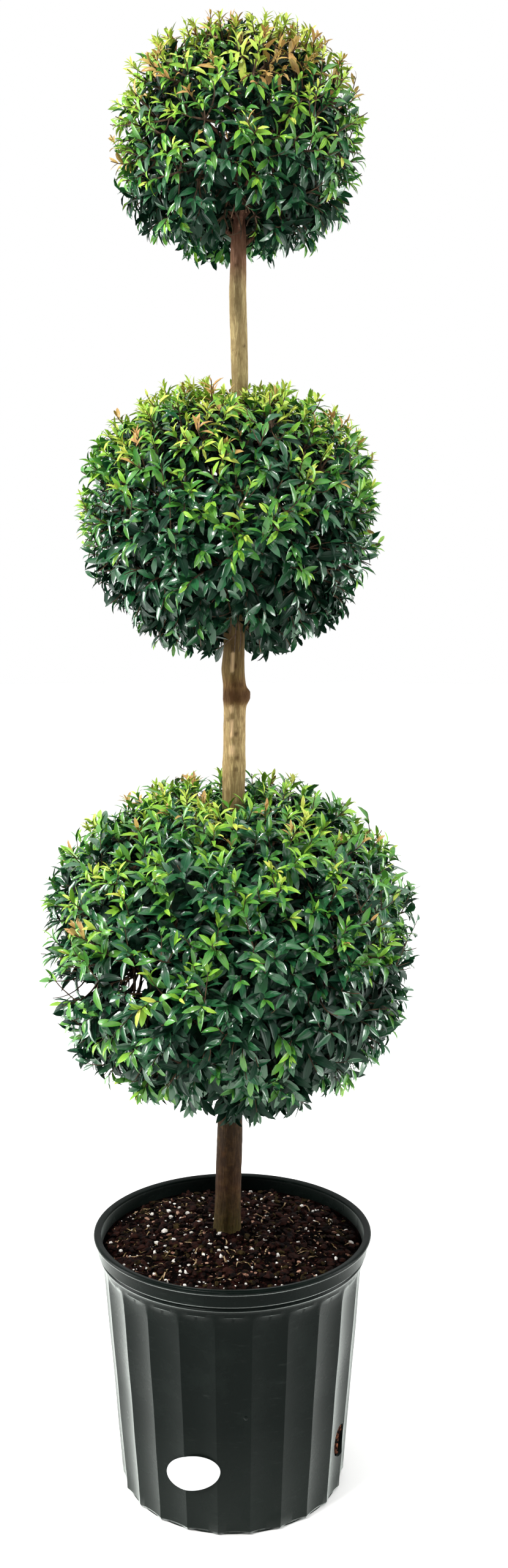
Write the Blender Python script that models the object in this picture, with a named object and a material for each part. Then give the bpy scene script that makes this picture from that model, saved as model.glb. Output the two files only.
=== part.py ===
"""Dwarf brush cherry clipped into three leaf balls on one stem, in a ribbed black nursery pot.

Metres, +Z up. The origin is the middle of the pot's flat underside, and the front faces -Y.
Angles round the pot are counted from the front towards +X.
"""

import math
import random

import bmesh
import bpy
from mathutils import Euler, Matrix, Vector

# Clearance between solids that touch on the real plant
GAP = 0.00035
# Points closer than this are one point
WELD = 0.00001

# Nursery pot
POT_HEIGHT = 0.247
POT_WALL = 0.0020
FLOOR_THICKNESS = 0.0030
RIM_RADIUS = 0.131
RIM_ROLL = 0.0055
RIM_ROUND = 0.0012
COLLAR_RADIUS = 0.1274
COLLAR_HEIGHT = 0.0115
BEAD_RADIUS = 0.1256
STEP_SLOPE = 0.0006
SHOULDER_Z = 0.2245
SHOULDER_FLARE = 0.0012
BASE_RADIUS = 0.1062
BASE_CHAMFER = 0.0035
WALL_SLOPE = 0.0755

# Hollow flutes round the wall, which end under the shoulder in a narrow ledge. The first ridge
# right of the front stands at the ridge angle.
FLUTES = 23
FLUTE_TOP_Z = 0.2185
FLUTE_LEDGE = 0.0035
FLUTE_DEPTH = 0.0022
RIDGE_ANGLE = math.radians(9)
STEPS_PER_FLUTE = 3

# Drainage holes low in the side wall
HOLE_ANGLES = (math.radians(69), math.radians(249))
HOLE_Z = 0.053
HOLE_HALF_WIDTH = 0.0115
HOLE_HALF_HEIGHT = 0.0165
HOLE_CUT_DEPTH = 0.016

# Blank oval sticker on the wall
STICKER_ANGLE = math.radians(-18.7)
STICKER_Z = 0.0603
STICKER_HALF_WIDTH = 0.0272
STICKER_HALF_HEIGHT = 0.0168
STICKER_TILT = math.radians(19)
STICKER_THICKNESS = 0.0004
STICKER_SIDES = 24

# Potting mix, mounded towards the stem
SOIL_EDGE_Z = 0.2340
SOIL_CROWN_Z = 0.2425
SOIL_CROWN_RADIUS = 0.018
SOIL_RINGS = 5
SOIL_LUMP = 0.0012

# Stem: height, sideways lean and radius, from the flat cut at the soil, past the swollen
# pruning scar under the middle ball, to the tip
STEM_STATIONS = (
    (SOIL_CROWN_Z + GAP, -0.0052, 0.0134),
    (0.2500, -0.0052, 0.0123),
    (0.2750, -0.0045, 0.0118),
    (0.3430, -0.0023, 0.0113),
    (0.5000, -0.0002, 0.0103),
    (0.6500, 0.0015, 0.0096),
    (0.7380, 0.0029, 0.0094),
    (0.7520, 0.0040, 0.0112),
    (0.7640, 0.0026, 0.0095),
    (0.7900, 0.0022, 0.0091),
    (0.9000, 0.0050, 0.0080),
    (1.0280, 0.0080, 0.0067),
    (1.1000, 0.0067, 0.0066),
    (1.1440, 0.0070, 0.0062),
    (1.1700, 0.0077, 0.0044),
    (1.2100, 0.0084, 0.0028),
    (1.2500, 0.0086, 0.0014),
)
STEM_ROUNDNESS = 4

# Leaf balls: middle, half width, height above and below the middle, shoots and boughs. The outline
# above and below the middle is round at a fullness of 2 and squarer above that.
BALLS = {
    "top": {
        "middle": (0.0074, 0.0, 1.2325),
        "half_width": 0.113,
        "rise": 0.097,
        "drop": 0.112,
        "upper_fullness": 2.1,
        "lower_fullness": 2.6,
        "shoots": 19,
        "boughs": 3,
        "bough_z": 1.137,
        "bough_radius": 0.0018,
        "seed": 11,
    },
    "middle": {
        "middle": (-0.0005, 0.0, 0.9165),
        "half_width": 0.139,
        "rise": 0.120,
        "drop": 0.137,
        "upper_fullness": 2.1,
        "lower_fullness": 2.1,
        "shoots": 24,
        "boughs": 4,
        "bough_z": 0.806,
        "bough_radius": 0.0027,
        "seed": 12,
    },
    "bottom": {
        "middle": (-0.0018, 0.0, 0.5356),
        "half_width": 0.177,
        "rise": 0.150,
        "drop": 0.176,
        "upper_fullness": 2.1,
        "lower_fullness": 2.2,
        "shoots": 34,
        "boughs": 4,
        "bough_z": 0.402,
        "bough_radius": 0.0034,
        "seed": 13,
    },
}

# Dense core of a ball, dished round the stem below
CORE_SHARE = 0.78
CORE_LUMP = 0.05
DISH_DEPTH = 0.34
DISH_SPREAD = math.radians(42)

# Boughs that leave the stem under a ball and bend upwards into its core
BOUGH_START = math.radians(20)
BOUGH_WANDER = 0.35
BOUGH_STAGGER = 0.007
BOUGH_SLOPE = math.tan(math.radians(38))
BOUGH_BEND = 2.5
BOUGH_SINK = 0.006
BOUGH_STEP = 0.002
BOUGH_RUNS = 4
BOUGH_FOOT_SHARE = 1.25
BOUGH_TIP_SHARE = 0.85
BOUGH_ROUNDNESS = 1

# Shoots: a twig with one leaf at its end and opposite pairs below it
GOLDEN_ANGLE = math.pi * (3 - math.sqrt(5))
FARTHEST_WAYS = ((1, 0, 0), (-1, 0, 0), (0, 1, 0), (0, -1, 0), (0.06, 0, 1))
FULL_REACH = 0.9995
REACH_RANGE = (0.90, 0.99)
TWIG_RADIUS = 0.0018
TWIG_SINK = 0.010
UPSWEEP = 0.15
UPSWEEP_LEVEL = 0.4
PAIR_PLACES = (0.42, 0.74)
PAIR_SPLAY = math.radians(62)
LIMB_CLEARANCE = 0.003

# Leaves, larger than life because they are few
LEAF_LENGTH_SHARE = 0.30
LEAF_LENGTH_BASE = 0.012
LEAF_WIDTH_SHARE = 0.46
LEAF_WIDEST_SHARE = 0.45
LEAF_FOLD = 0.30
LEAF_OVERLAP = 0.14
LEAF_SINK = 0.0009
LEAF_LIFT = 0.6

UP = Vector((0.0, 0.0, 1.0))


def clear_scene():
    for old in list(bpy.data.objects):
        bpy.data.objects.remove(old)


def material(name, colour, roughness):
    made = bpy.data.materials.new(name)
    made.use_nodes = True
    shader = made.node_tree.nodes["Principled BSDF"]
    shader.inputs["Base Color"].default_value = (*colour, 1.0)
    shader.inputs["Roughness"].default_value = roughness
    shader.inputs["Metallic"].default_value = 0.0
    return made


def add_object(name, mesh, finish=None):
    made = bpy.data.objects.new(name, mesh)
    bpy.context.scene.collection.objects.link(made)
    if finish:
        mesh.materials.clear()
        mesh.materials.append(finish)
    return made


def add_cutter(name, mesh):
    cutter = add_object(name, mesh)
    cutter.hide_render = True
    cutter.display_type = "WIRE"
    return cutter


def cut_with(made, cutter, solver="EXACT"):
    cut = made.modifiers.new(f"clear_{cutter.name}", "BOOLEAN")
    cut.operation = "DIFFERENCE"
    cut.object = cutter
    cut.solver = solver


def mesh_from(name, shape):
    bmesh.ops.recalc_face_normals(shape, faces=shape.faces)
    if shape.calc_volume(signed=True) < 0:
        bmesh.ops.reverse_faces(shape, faces=shape.faces)
    mesh = bpy.data.meshes.new(name)
    shape.to_mesh(mesh)
    shape.free()
    return mesh


def shade_round(made, sharp_angle):
    made.data.shade_smooth()
    made.data.set_sharp_from_angle(angle=sharp_angle)


# Pot, soil and sticker


def turned(profile, steps):
    """A closed solid turned about Z from a profile of (radius, height) that starts and ends on the axis."""
    shape = bmesh.new()
    points = [shape.verts.new((radius, 0.0, height)) for radius, height in profile]
    edges = [shape.edges.new(pair) for pair in zip(points, points[1:])]
    bmesh.ops.spin(
        shape,
        geom=points + edges,
        cent=(0, 0, 0),
        axis=(0, 0, 1),
        angle=math.tau,
        steps=steps,
        use_merge=True,
    )
    bmesh.ops.remove_doubles(shape, verts=shape.verts, dist=WELD)
    phase = Matrix.Rotation(RIDGE_ANGLE - math.pi / 2, 3, "Z")
    bmesh.ops.rotate(shape, verts=shape.verts, cent=(0, 0, 0), matrix=phase)
    return shape


def wall_radius(height):
    """Radius of the fluted wall at its ridges."""
    return BASE_RADIUS + WALL_SLOPE * height


def inner_radius(height):
    return wall_radius(height) - FLUTE_DEPTH - POT_WALL


def pot_point(angle, radius, height):
    return Vector((radius * math.sin(angle), -radius * math.cos(angle), height))


def pot_mesh():
    collar_top = POT_HEIGHT - RIM_ROLL
    collar_foot = collar_top - COLLAR_HEIGHT
    inner_collar = COLLAR_RADIUS - POT_WALL
    wall_top = wall_radius(FLUTE_TOP_Z)
    profile = [
        (0.0, 0.0),
        (wall_radius(0.0) - BASE_CHAMFER, 0.0),
        (wall_radius(BASE_CHAMFER), BASE_CHAMFER),
        (wall_top, FLUTE_TOP_Z - FLUTE_LEDGE),
        (wall_top, FLUTE_TOP_Z),
        (wall_top + SHOULDER_FLARE, SHOULDER_Z),
        (BEAD_RADIUS, SHOULDER_Z + STEP_SLOPE),
        (BEAD_RADIUS, collar_foot),
        (COLLAR_RADIUS - STEP_SLOPE, collar_foot + STEP_SLOPE),
        (COLLAR_RADIUS, collar_top),
        (RIM_RADIUS - RIM_ROUND, collar_top),
        (RIM_RADIUS, collar_top + 2 * RIM_ROUND),
        (RIM_RADIUS - RIM_ROUND / 2, POT_HEIGHT - RIM_ROUND),
        (RIM_RADIUS - 2 * RIM_ROUND, POT_HEIGHT),
        (inner_collar + 2 * RIM_ROUND, POT_HEIGHT - RIM_ROUND),
        (inner_collar, collar_top - RIM_ROUND),
        (BEAD_RADIUS - POT_WALL, SHOULDER_Z + POT_WALL),
        (inner_radius(FLUTE_TOP_Z), FLUTE_TOP_Z),
        (inner_radius(FLOOR_THICKNESS), FLOOR_THICKNESS),
        (0.0, FLOOR_THICKNESS),
    ]
    shape = turned(profile, FLUTES * STEPS_PER_FLUTE)
    pitch = math.tau / FLUTES
    flute_head = FLUTE_TOP_Z - FLUTE_LEDGE + WELD
    for point in shape.verts:
        reach = point.co.xy.length
        if point.co.z > flute_head or reach < inner_radius(point.co.z) + POT_WALL:
            continue
        angle = math.atan2(point.co.x, -point.co.y) - RIDGE_ANGLE
        across = angle / pitch % 1.0
        depth = FLUTE_DEPTH * (1 - (2 * across - 1) ** 2)
        point.co.xy *= (reach - depth) / reach
    return mesh_from("pot", shape)


def add_pot(finish):
    pot = add_object("pot", pot_mesh(), finish)
    for number, angle in enumerate(HOLE_ANGLES, 1):
        shape = bmesh.new()
        bmesh.ops.create_cone(
            shape,
            cap_ends=True,
            segments=16,
            radius1=1.0,
            radius2=1.0,
            depth=HOLE_CUT_DEPTH,
        )
        oval = (HOLE_HALF_WIDTH, HOLE_HALF_HEIGHT, 1.0)
        bmesh.ops.scale(shape, verts=shape.verts, vec=oval)
        cutter = add_cutter(f"hole_{number}", mesh_from("hole", shape))
        cutter.rotation_euler = Euler((math.pi / 2, 0.0, angle))
        cutter.location = pot_point(angle, wall_radius(HOLE_Z) - POT_WALL, HOLE_Z)
        cut_with(pot, cutter)
    shade_round(pot, math.radians(25))


def add_soil(finish):
    """The potting mix fills the pot to just under its rim and rises towards the stem."""
    chance = random.Random(5)
    floor = FLOOR_THICKNESS + GAP
    widest = BEAD_RADIUS - POT_WALL - 2 * GAP
    profile = [
        (0.0, floor),
        (inner_radius(floor) - GAP, floor),
        (inner_radius(FLUTE_TOP_Z) - GAP, FLUTE_TOP_Z - GAP),
        (widest - STEP_SLOPE, SHOULDER_Z + POT_WALL),
        (widest, SOIL_EDGE_Z),
    ]
    for ring in range(1, SOIL_RINGS + 1):
        share = ring / SOIL_RINGS
        radius = widest + (SOIL_CROWN_RADIUS - widest) * share
        rise = (SOIL_CROWN_Z - SOIL_EDGE_Z) * math.sin(share * math.pi / 2)
        profile.append((radius, SOIL_EDGE_Z + rise))
    profile.append((0.0, SOIL_CROWN_Z))
    shape = turned(profile, FLUTES * STEPS_PER_FLUTE // 2)
    for point in shape.verts:
        if point.co.z > SOIL_EDGE_Z and point.co.xy.length > SOIL_CROWN_RADIUS + GAP:
            point.co.z += chance.uniform(-SOIL_LUMP, SOIL_LUMP)
    soil = add_object("soil", mesh_from("soil", shape), finish)
    shade_round(soil, math.radians(35))


def add_sticker(finish):
    """An oval of thin film that lies on the ridges of the flutes."""
    shape = bmesh.new()
    bmesh.ops.create_circle(shape, cap_ends=True, segments=STICKER_SIDES, radius=1.0)
    for _ in range(2):
        middle = [face for face in shape.faces if len(face.verts) == STICKER_SIDES]
        bmesh.ops.inset_individual(shape, faces=middle, thickness=0.33)
    middle = [face for face in shape.faces if len(face.verts) == STICKER_SIDES]
    bmesh.ops.poke(shape, faces=middle)
    cover = bmesh.ops.extrude_face_region(shape, geom=shape.faces[:], use_keep_orig=True)
    outer = {item for item in cover["geom"] if isinstance(item, bmesh.types.BMVert)}
    turn = Matrix.Rotation(STICKER_TILT, 2)
    for point in shape.verts:
        oval = Vector((point.co.x * STICKER_HALF_WIDTH, point.co.y * STICKER_HALF_HEIGHT))
        flat = turn @ oval
        height = STICKER_Z + flat.y
        radius = wall_radius(height) + GAP + (STICKER_THICKNESS if point in outer else 0.0)
        point.co = pot_point(STICKER_ANGLE + flat.x / wall_radius(STICKER_Z), radius, height)
    add_object("sticker", mesh_from("sticker", shape), finish)


# Stem and boughs


def tube_mesh(name, points, radii, roundness, grow=0.0):
    """A tapering round limb through the points, with flat ends."""
    curve = bpy.data.curves.new(name, "CURVE")
    curve.dimensions = "3D"
    curve.bevel_depth = 1.0
    curve.bevel_resolution = roundness
    curve.use_fill_caps = True
    line = curve.splines.new("POLY")
    line.points.add(len(points) - 1)
    for knot, place, radius in zip(line.points, points, radii):
        knot.co = (*place, 1.0)
        knot.radius = radius + grow
    rod = add_object(name, curve)
    graph = bpy.context.evaluated_depsgraph_get()
    mesh = bpy.data.meshes.new_from_object(rod.evaluated_get(graph))
    bpy.data.objects.remove(rod)
    shape = bmesh.new()
    shape.from_mesh(mesh)
    bmesh.ops.remove_doubles(shape, verts=shape.verts, dist=WELD)
    return mesh_from(name, shape)


def stem_at(height):
    """The stem's middle and radius at a height, on straight runs between its stations."""
    height = min(max(height, STEM_STATIONS[0][0]), STEM_STATIONS[-1][0])
    for low, high in zip(STEM_STATIONS, STEM_STATIONS[1:]):
        if height <= high[0]:
            break
    share = (height - low[0]) / (high[0] - low[0])
    lean = low[1] + (high[1] - low[1]) * share
    return Vector((lean, 0.0, height)), low[2] + (high[2] - low[2]) * share


def add_stem(finish):
    """Adds the stem, and returns the cutter that keeps other solids clear of it."""
    points = [Vector((lean, 0.0, height)) for height, lean, _ in STEM_STATIONS]
    radii = [radius for _, _, radius in STEM_STATIONS]
    stem = add_object("stem", tube_mesh("stem", points, radii, STEM_ROUNDNESS), finish)
    shade_round(stem, math.radians(35))
    points[0] -= UP * GAP
    points[-1] += UP * GAP
    return add_cutter("stem_sleeve", tube_mesh("sleeve", points, radii, STEM_ROUNDNESS, GAP))


def bough_point(ball, number, along):
    """The place on a bough's middle line at a level distance out from the stem's middle."""
    wander = BOUGH_WANDER * math.sin(7 * number)
    azimuth = BOUGH_START + number * math.tau / ball["boughs"] + wander
    foot, _ = stem_at(ball["bough_z"] + BOUGH_STAGGER * number)
    out = Vector((math.cos(azimuth), math.sin(azimuth), 0.0))
    return foot + out * along + UP * BOUGH_SLOPE * along * (1 + BOUGH_BEND * along)


def bough_path(ball, number):
    """Points and radii of one bough, from the stem's middle to just inside the core."""
    middle = Vector(ball["middle"])
    length = 0.0
    buried = False
    while not buried:
        length += BOUGH_STEP
        off = bough_point(ball, number, length) - middle
        buried = off.length < core_reach(ball, off.normalized()) - BOUGH_SINK
    shares = [run / BOUGH_RUNS for run in range(BOUGH_RUNS + 1)]
    taper = BOUGH_TIP_SHARE - BOUGH_FOOT_SHARE
    radii = [ball["bough_radius"] * (BOUGH_FOOT_SHARE + taper * share) for share in shares]
    return [bough_point(ball, number, length * share) for share in shares], radii


def add_boughs(label, ball, stem_sleeve, finish):
    """Adds the boughs that show under a ball, and returns the cutters round them."""
    sleeves = []
    for number in range(ball["boughs"]):
        name = f"{label}_bough_{number + 1}"
        points, radii = bough_path(ball, number)
        bough = add_object(name, tube_mesh(name, points, radii, BOUGH_ROUNDNESS), finish)
        cut_with(bough, stem_sleeve)
        shade_round(bough, math.radians(50))
        points[-1] += (points[-1] - points[-2]).normalized() * GAP
        sleeve = tube_mesh("sleeve", points, radii, BOUGH_ROUNDNESS, GAP)
        sleeves.append(add_cutter(f"{name}_sleeve", sleeve))
    return sleeves


# Leaf balls


def ball_reach(ball, way):
    """How far the clipped outline lies from the ball's middle, along a unit direction."""
    across = math.hypot(way.x, way.y) / ball["half_width"]
    along = abs(way.z) / (ball["rise"] if way.z > 0 else ball["drop"])
    fullness = ball["upper_fullness"] if way.z > 0 else ball["lower_fullness"]
    return (across**fullness + along**fullness) ** (-1 / fullness)


def core_reach(ball, way):
    from_below = math.acos(max(-1.0, min(1.0, -way.z)))
    dish = DISH_DEPTH * math.exp(-((from_below / DISH_SPREAD) ** 2))
    return ball_reach(ball, way) * CORE_SHARE * (1 - dish)


def core_mesh(ball):
    chance = random.Random(ball["seed"])
    shape = bmesh.new()
    bmesh.ops.create_icosphere(shape, subdivisions=3, radius=1.0)
    for point in shape.verts:
        way = point.co.normalized()
        point.co = way * core_reach(ball, way) * (1 + chance.uniform(-CORE_LUMP, CORE_LUMP))
    bmesh.ops.translate(shape, verts=shape.verts, vec=ball["middle"])
    return mesh_from("core", shape)


def within(ball, place):
    off = place - Vector(ball["middle"])
    return off.length < ball_reach(ball, off.normalized())


def distance_to_run(place, start, end):
    run = end - start
    share = max(0.0, min(1.0, (place - start).dot(run) / run.length_squared))
    return (place - start - run * share).length


def touches_limb(place, boughs):
    middle, radius = stem_at(place.z)
    if (place - middle).length < radius + LIMB_CLEARANCE:
        return True
    for points, radii in boughs:
        for start, end in zip(points, points[1:]):
            if distance_to_run(place, start, end) < radii[0] + LIMB_CLEARANCE:
                return True
    return False


def axes_along(along, outward):
    """Axes with Z along a twig or leaf and Y on its outward side."""
    side = along.cross(outward)
    if side.length < WELD:
        side = along.orthogonal()
    side.normalize()
    return Matrix((side, side.cross(along).normalized(), along)).transposed()


def leaf_mesh(foot, along, outward, length):
    """A pointed blade of four faces: its two edges stand above the midrib."""
    half_width = length * LEAF_WIDTH_SHARE / 2
    widest = length * LEAF_WIDEST_SHARE
    corners = (
        Vector((0, 0, 0)),
        Vector((half_width, half_width * LEAF_FOLD, widest)),
        Vector((-half_width, half_width * LEAF_FOLD, widest)),
        Vector((0, 0, length)),
    )
    shape = bmesh.new()
    bmesh.ops.create_cone(shape, cap_ends=True, segments=3, radius1=1.0, radius2=0.0, depth=1.0)
    axes = axes_along(along, outward)
    for point, corner in zip(shape.verts, corners):
        point.co = foot + axes @ corner
    return mesh_from("leaf", shape)


def twig_mesh(foot, along, length):
    """A three-sided twig that runs out to a point inside its last leaf."""
    shape = bmesh.new()
    bmesh.ops.create_cone(
        shape,
        cap_ends=True,
        segments=3,
        radius1=TWIG_RADIUS,
        radius2=0.0,
        depth=length,
    )
    bmesh.ops.translate(shape, verts=shape.verts, vec=(0, 0, length / 2))
    place = Matrix.Translation(foot) @ axes_along(along, UP).to_4x4()
    bmesh.ops.transform(shape, matrix=place, verts=shape.verts)
    return mesh_from("twig", shape)


def shoot_ways(ball):
    """The ways that fix the ball's furthest tips, then an even spiral over it."""
    ways = [Vector(way) for way in FARTHEST_WAYS]
    for number in range(ball["shoots"]):
        height = 1 - 2 * (number + 0.5) / ball["shoots"]
        level = math.sqrt(1 - height * height)
        azimuth = number * GOLDEN_ANGLE
        ways.append(Vector((level * math.cos(azimuth), level * math.sin(azimuth), height)))
    return [way.normalized() for way in ways]


def paired_leaves(ball, boughs, foot, twig_way, length, way, leaf_length, chance):
    """Opposite leaves along a twig, each pair turned a quarter from the last."""
    leaves = []
    turn = chance.uniform(0, math.tau)
    axes = axes_along(twig_way, UP)
    for pair, share in enumerate(PAIR_PLACES):
        for side in (0, math.pi):
            azimuth = turn + pair * math.pi / 2 + side
            across = axes @ Vector((math.cos(azimuth), math.sin(azimuth), 0))
            splay = PAIR_SPLAY * chance.uniform(0.85, 1.2)
            leaf_way = twig_way * math.cos(splay) + across * math.sin(splay)
            size = leaf_length * chance.uniform(0.82, 1.0)
            along = length * share + TWIG_SINK * (1 - share)
            leaf_foot = foot + twig_way * along - leaf_way * LEAF_SINK
            end = leaf_foot + leaf_way * size
            if within(ball, end) and not touches_limb(end, boughs):
                leaves.append(leaf_mesh(leaf_foot, leaf_way, way + UP * LEAF_LIFT, size))
    return leaves


def grow_shoots(ball, boughs):
    """Meshes of every twig and leaf that keeps to the ball's space and off the limbs."""
    chance = random.Random(ball["seed"] + 1)
    middle = Vector(ball["middle"])
    leaf_length = LEAF_LENGTH_BASE + LEAF_LENGTH_SHARE * ball["half_width"]
    grown = []
    for number, way in enumerate(shoot_ways(ball)):
        fixed = number < len(FARTHEST_WAYS)
        share = FULL_REACH if fixed else chance.uniform(*REACH_RANGE)
        sweep = 0.0 if fixed else UPSWEEP * chance.uniform(0.2, 1.0)
        foot = middle + way * (core_reach(ball, way) - TWIG_SINK)
        tip = middle + way * ball_reach(ball, way) * share
        length = (tip - foot).length - leaf_length * (1 - LEAF_OVERLAP)
        twig_way = (way + UP * sweep * (way.z + UPSWEEP_LEVEL)).normalized()
        twig_tip = foot + twig_way * length
        if touches_limb(twig_tip, boughs) or touches_limb(foot, boughs):
            continue
        grown.append(twig_mesh(foot, twig_way, length))
        last = (tip - twig_tip).normalized()
        below = axes_along(last, UP).col[1] * LEAF_SINK / 2
        leaf_foot = twig_tip - last * leaf_length * LEAF_OVERLAP - below
        grown.append(leaf_mesh(leaf_foot, last, UP, (tip - leaf_foot).length))
        grown += paired_leaves(ball, boughs, foot, twig_way, length, way, leaf_length, chance)
    return grown


def keep_widest_shell(mesh):
    """Drops loose scraps and fills sealed hollows: only the largest connected shell stays."""
    shape = bmesh.new()
    shape.from_mesh(mesh)
    left = set(shape.verts)
    shells = []
    while left:
        front = [left.pop()]
        shell = set(front)
        while front:
            point = front.pop()
            near = {edge.other_vert(point) for edge in point.link_edges} - shell
            shell |= near
            front += near
        left -= shell
        shells.append(shell)
    shells.sort(key=len, reverse=True)
    loose = [point for shell in shells[1:] for point in shell]
    bmesh.ops.delete(shape, geom=loose, context="VERTS")
    bmesh.ops.triangulate(shape, faces=shape.faces)
    shape.to_mesh(mesh)
    shape.free()


def add_ball(label, ball, sleeves, finish):
    """Core, twigs and leaves fused to one solid, cut clear of the stem and boughs."""
    core = add_object(f"{label}_ball", core_mesh(ball), finish)
    boughs = [bough_path(ball, number) for number in range(ball["boughs"])]
    shoots = bpy.data.collections.new(f"{label}_shoots")
    bpy.context.scene.collection.children.link(shoots)
    for number, mesh in enumerate(grow_shoots(ball, boughs)):
        shoots.objects.link(bpy.data.objects.new(f"{label}_shoot_{number}", mesh))
    fuse = core.modifiers.new("fuse", "BOOLEAN")
    fuse.operation = "UNION"
    fuse.operand_type = "COLLECTION"
    fuse.collection = shoots
    fuse.solver = "MANIFOLD"
    for sleeve in sleeves:
        cut_with(core, sleeve, "MANIFOLD")
    graph = bpy.context.evaluated_depsgraph_get()
    joined = bpy.data.meshes.new_from_object(core.evaluated_get(graph))
    core.modifiers.clear()
    keep_widest_shell(joined)
    core.data = joined
    shade_round(core, math.radians(30))
    for made in list(shoots.objects):
        bpy.data.objects.remove(made)
    bpy.data.collections.remove(shoots)
    return core


def build():
    clear_scene()
    black_plastic = material("black_plastic", (0.017, 0.022, 0.020), 0.35)
    potting_mix = material("potting_mix", (0.040, 0.028, 0.022), 0.95)
    white_film = material("white_film", (0.86, 0.88, 0.88), 0.45)
    bark = material("bark", (0.24, 0.17, 0.11), 0.85)
    leaves = material("leaves", (0.045, 0.120, 0.035), 0.40)
    add_pot(black_plastic)
    add_soil(potting_mix)
    add_sticker(white_film)
    stem_sleeve = add_stem(bark)
    for label, ball in BALLS.items():
        bough_sleeves = add_boughs(label, ball, stem_sleeve, bark)
        add_ball(label, ball, [stem_sleeve, *bough_sleeves], leaves)


build()
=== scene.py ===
"""Looks of the potted dwarf brush cherry: black nursery pot, potting mix, barked stem and three leaf balls.

Metres, +Z up, with the CAD model's origin in the middle of the pot's underside and its front towards -Y.
"""

import math

import bmesh
import bpy
import numpy as np
from mathutils import Matrix, Vector, noise


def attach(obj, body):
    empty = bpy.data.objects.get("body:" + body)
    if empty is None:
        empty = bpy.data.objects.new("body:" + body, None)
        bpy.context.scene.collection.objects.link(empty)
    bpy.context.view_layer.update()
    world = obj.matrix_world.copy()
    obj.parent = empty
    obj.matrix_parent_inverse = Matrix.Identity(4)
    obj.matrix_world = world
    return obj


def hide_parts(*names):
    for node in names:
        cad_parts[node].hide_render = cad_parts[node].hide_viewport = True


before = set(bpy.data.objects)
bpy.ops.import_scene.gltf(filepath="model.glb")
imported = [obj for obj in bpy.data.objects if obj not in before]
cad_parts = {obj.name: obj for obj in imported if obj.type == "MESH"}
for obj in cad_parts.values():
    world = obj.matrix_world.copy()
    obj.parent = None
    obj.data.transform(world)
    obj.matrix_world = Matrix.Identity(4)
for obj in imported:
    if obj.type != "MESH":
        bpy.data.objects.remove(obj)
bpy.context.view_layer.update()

# Nursery pot: one thin-walled moulding in black polypropylene, satin, with hollow flutes down its wall,
# a beaded collar and a lip that rolls outwards. Drainage holes are punched low in the side, and a round
# moulding mark stands in the middle of the front.

POT_BASE_RADIUS = 0.1062
POT_WALL_SLOPE = 0.0755
POT_FLOOR_Z = 0.0030
WALL_SET_IN = 0.0042
OUTER_SKIN = 0.0030
WALL_WAVE = 0.0005
FOOT_ROUND = 0.0035
FLUTES = 23
FLUTE_DEPTH = 0.0026
FLUTE_HEAD_Z = 0.2150
FLUTE_ARCH_FOOT_Z = 0.1900
FLUTE_ARCH_DROP = 0.0035
RIDGE_ANGLE = math.radians(9)
LEDGE_TOP_Z = 0.2185
LEDGE_HOLLOW = 0.55
# Radius and height of the middle of the bead's and the lip's round section
BEAD = (0.1244, 0.2262)
BEAD_RADIUS = 0.0012
LIP = (0.1286, 0.2446)
LIP_RADIUS = 0.0024
POT_STEPS = FLUTES * 14
WALL_ROWS = 22
HAIR = 0.0001
HOLE_ANGLE = math.radians(69)
HOLE_Z = 0.053
HOLE_HALF_WIDTH = 0.0115
HOLE_HALF_HEIGHT = 0.0165
HOLE_CUT_DEPTH = 0.016
MARK_ANGLE = math.radians(6.9)
MARK_Z = 0.119
MARK_RADIUS = 0.0024
POT_BLACK = (0.0016, 0.0038, 0.0030, 1.0)
POT_SMUDGE = (0.0050, 0.0085, 0.0070, 1.0)
# Pale grey: real wear where it marks the scuffs, painted bounce light where it lightens the foot
POT_DUST_AND_BOUNCE = (0.035, 0.042, 0.038, 1.0)
# Radius and height of the rim's points: up the outside from the bead to the lip, and down the inside
RIM_OUTSIDE = (
    (0.1244, 0.2284),
    (0.1252, 0.2292),
    (0.1266, 0.2300),
    (0.1273, 0.2308),
    (0.1274, 0.2322),
    (0.1274, 0.2395),
    (0.1278, 0.2412),
)
RIM_INSIDE = (
    (0.1256, 0.2465),
    (0.1242, 0.2456),
    (0.1240, 0.2438),
    (0.1250, 0.2415),
    (0.1250, 0.2330),
    (0.1236, 0.2270),
    (0.1226, 0.2240),
)


def wall_radius(height):
    """Radius of the pot's wall at the ridges between its flutes."""
    return POT_BASE_RADIUS + POT_WALL_SLOPE * height


def round_corner(middle, radius, start, end, steps):
    """Points of (radius, height) on an arc, with its angles in degrees from +X."""
    turns = [math.radians(start + (end - start) * step / steps) for step in range(steps + 1)]
    return [(middle[0] + radius * math.cos(t), middle[1] + radius * math.sin(t)) for t in turns]


def spun(profile, steps):
    """A body turned about Z from a profile of (radius, height) that starts and ends on the axis."""
    shape = bmesh.new()
    points = [shape.verts.new((radius, 0.0, height)) for radius, height in profile]
    edges = [shape.edges.new(pair) for pair in zip(points, points[1:])]
    bmesh.ops.spin(
        shape,
        geom=points + edges,
        cent=(0, 0, 0),
        axis=(0, 0, 1),
        angle=math.tau,
        steps=steps,
        use_merge=True,
    )
    bmesh.ops.remove_doubles(shape, verts=shape.verts, dist=0.00001)
    return shape


def finished_mesh(name, shape):
    bmesh.ops.recalc_face_normals(shape, faces=shape.faces)
    mesh = bpy.data.meshes.new(name)
    shape.to_mesh(mesh)
    shape.free()
    return mesh


def add_piece(name, mesh, material, replaced=(), sharp_angle=40):
    """Links a finished mesh as a piece of the plant, which rides on the one rigid body."""
    piece = bpy.data.objects.new(name, mesh)
    bpy.context.scene.collection.objects.link(piece)
    mesh.materials.clear()
    mesh.materials.append(material)
    mesh.shade_smooth()
    mesh.set_sharp_from_angle(angle=math.radians(sharp_angle))
    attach(piece, "root")
    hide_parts(*replaced)
    return piece


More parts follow.
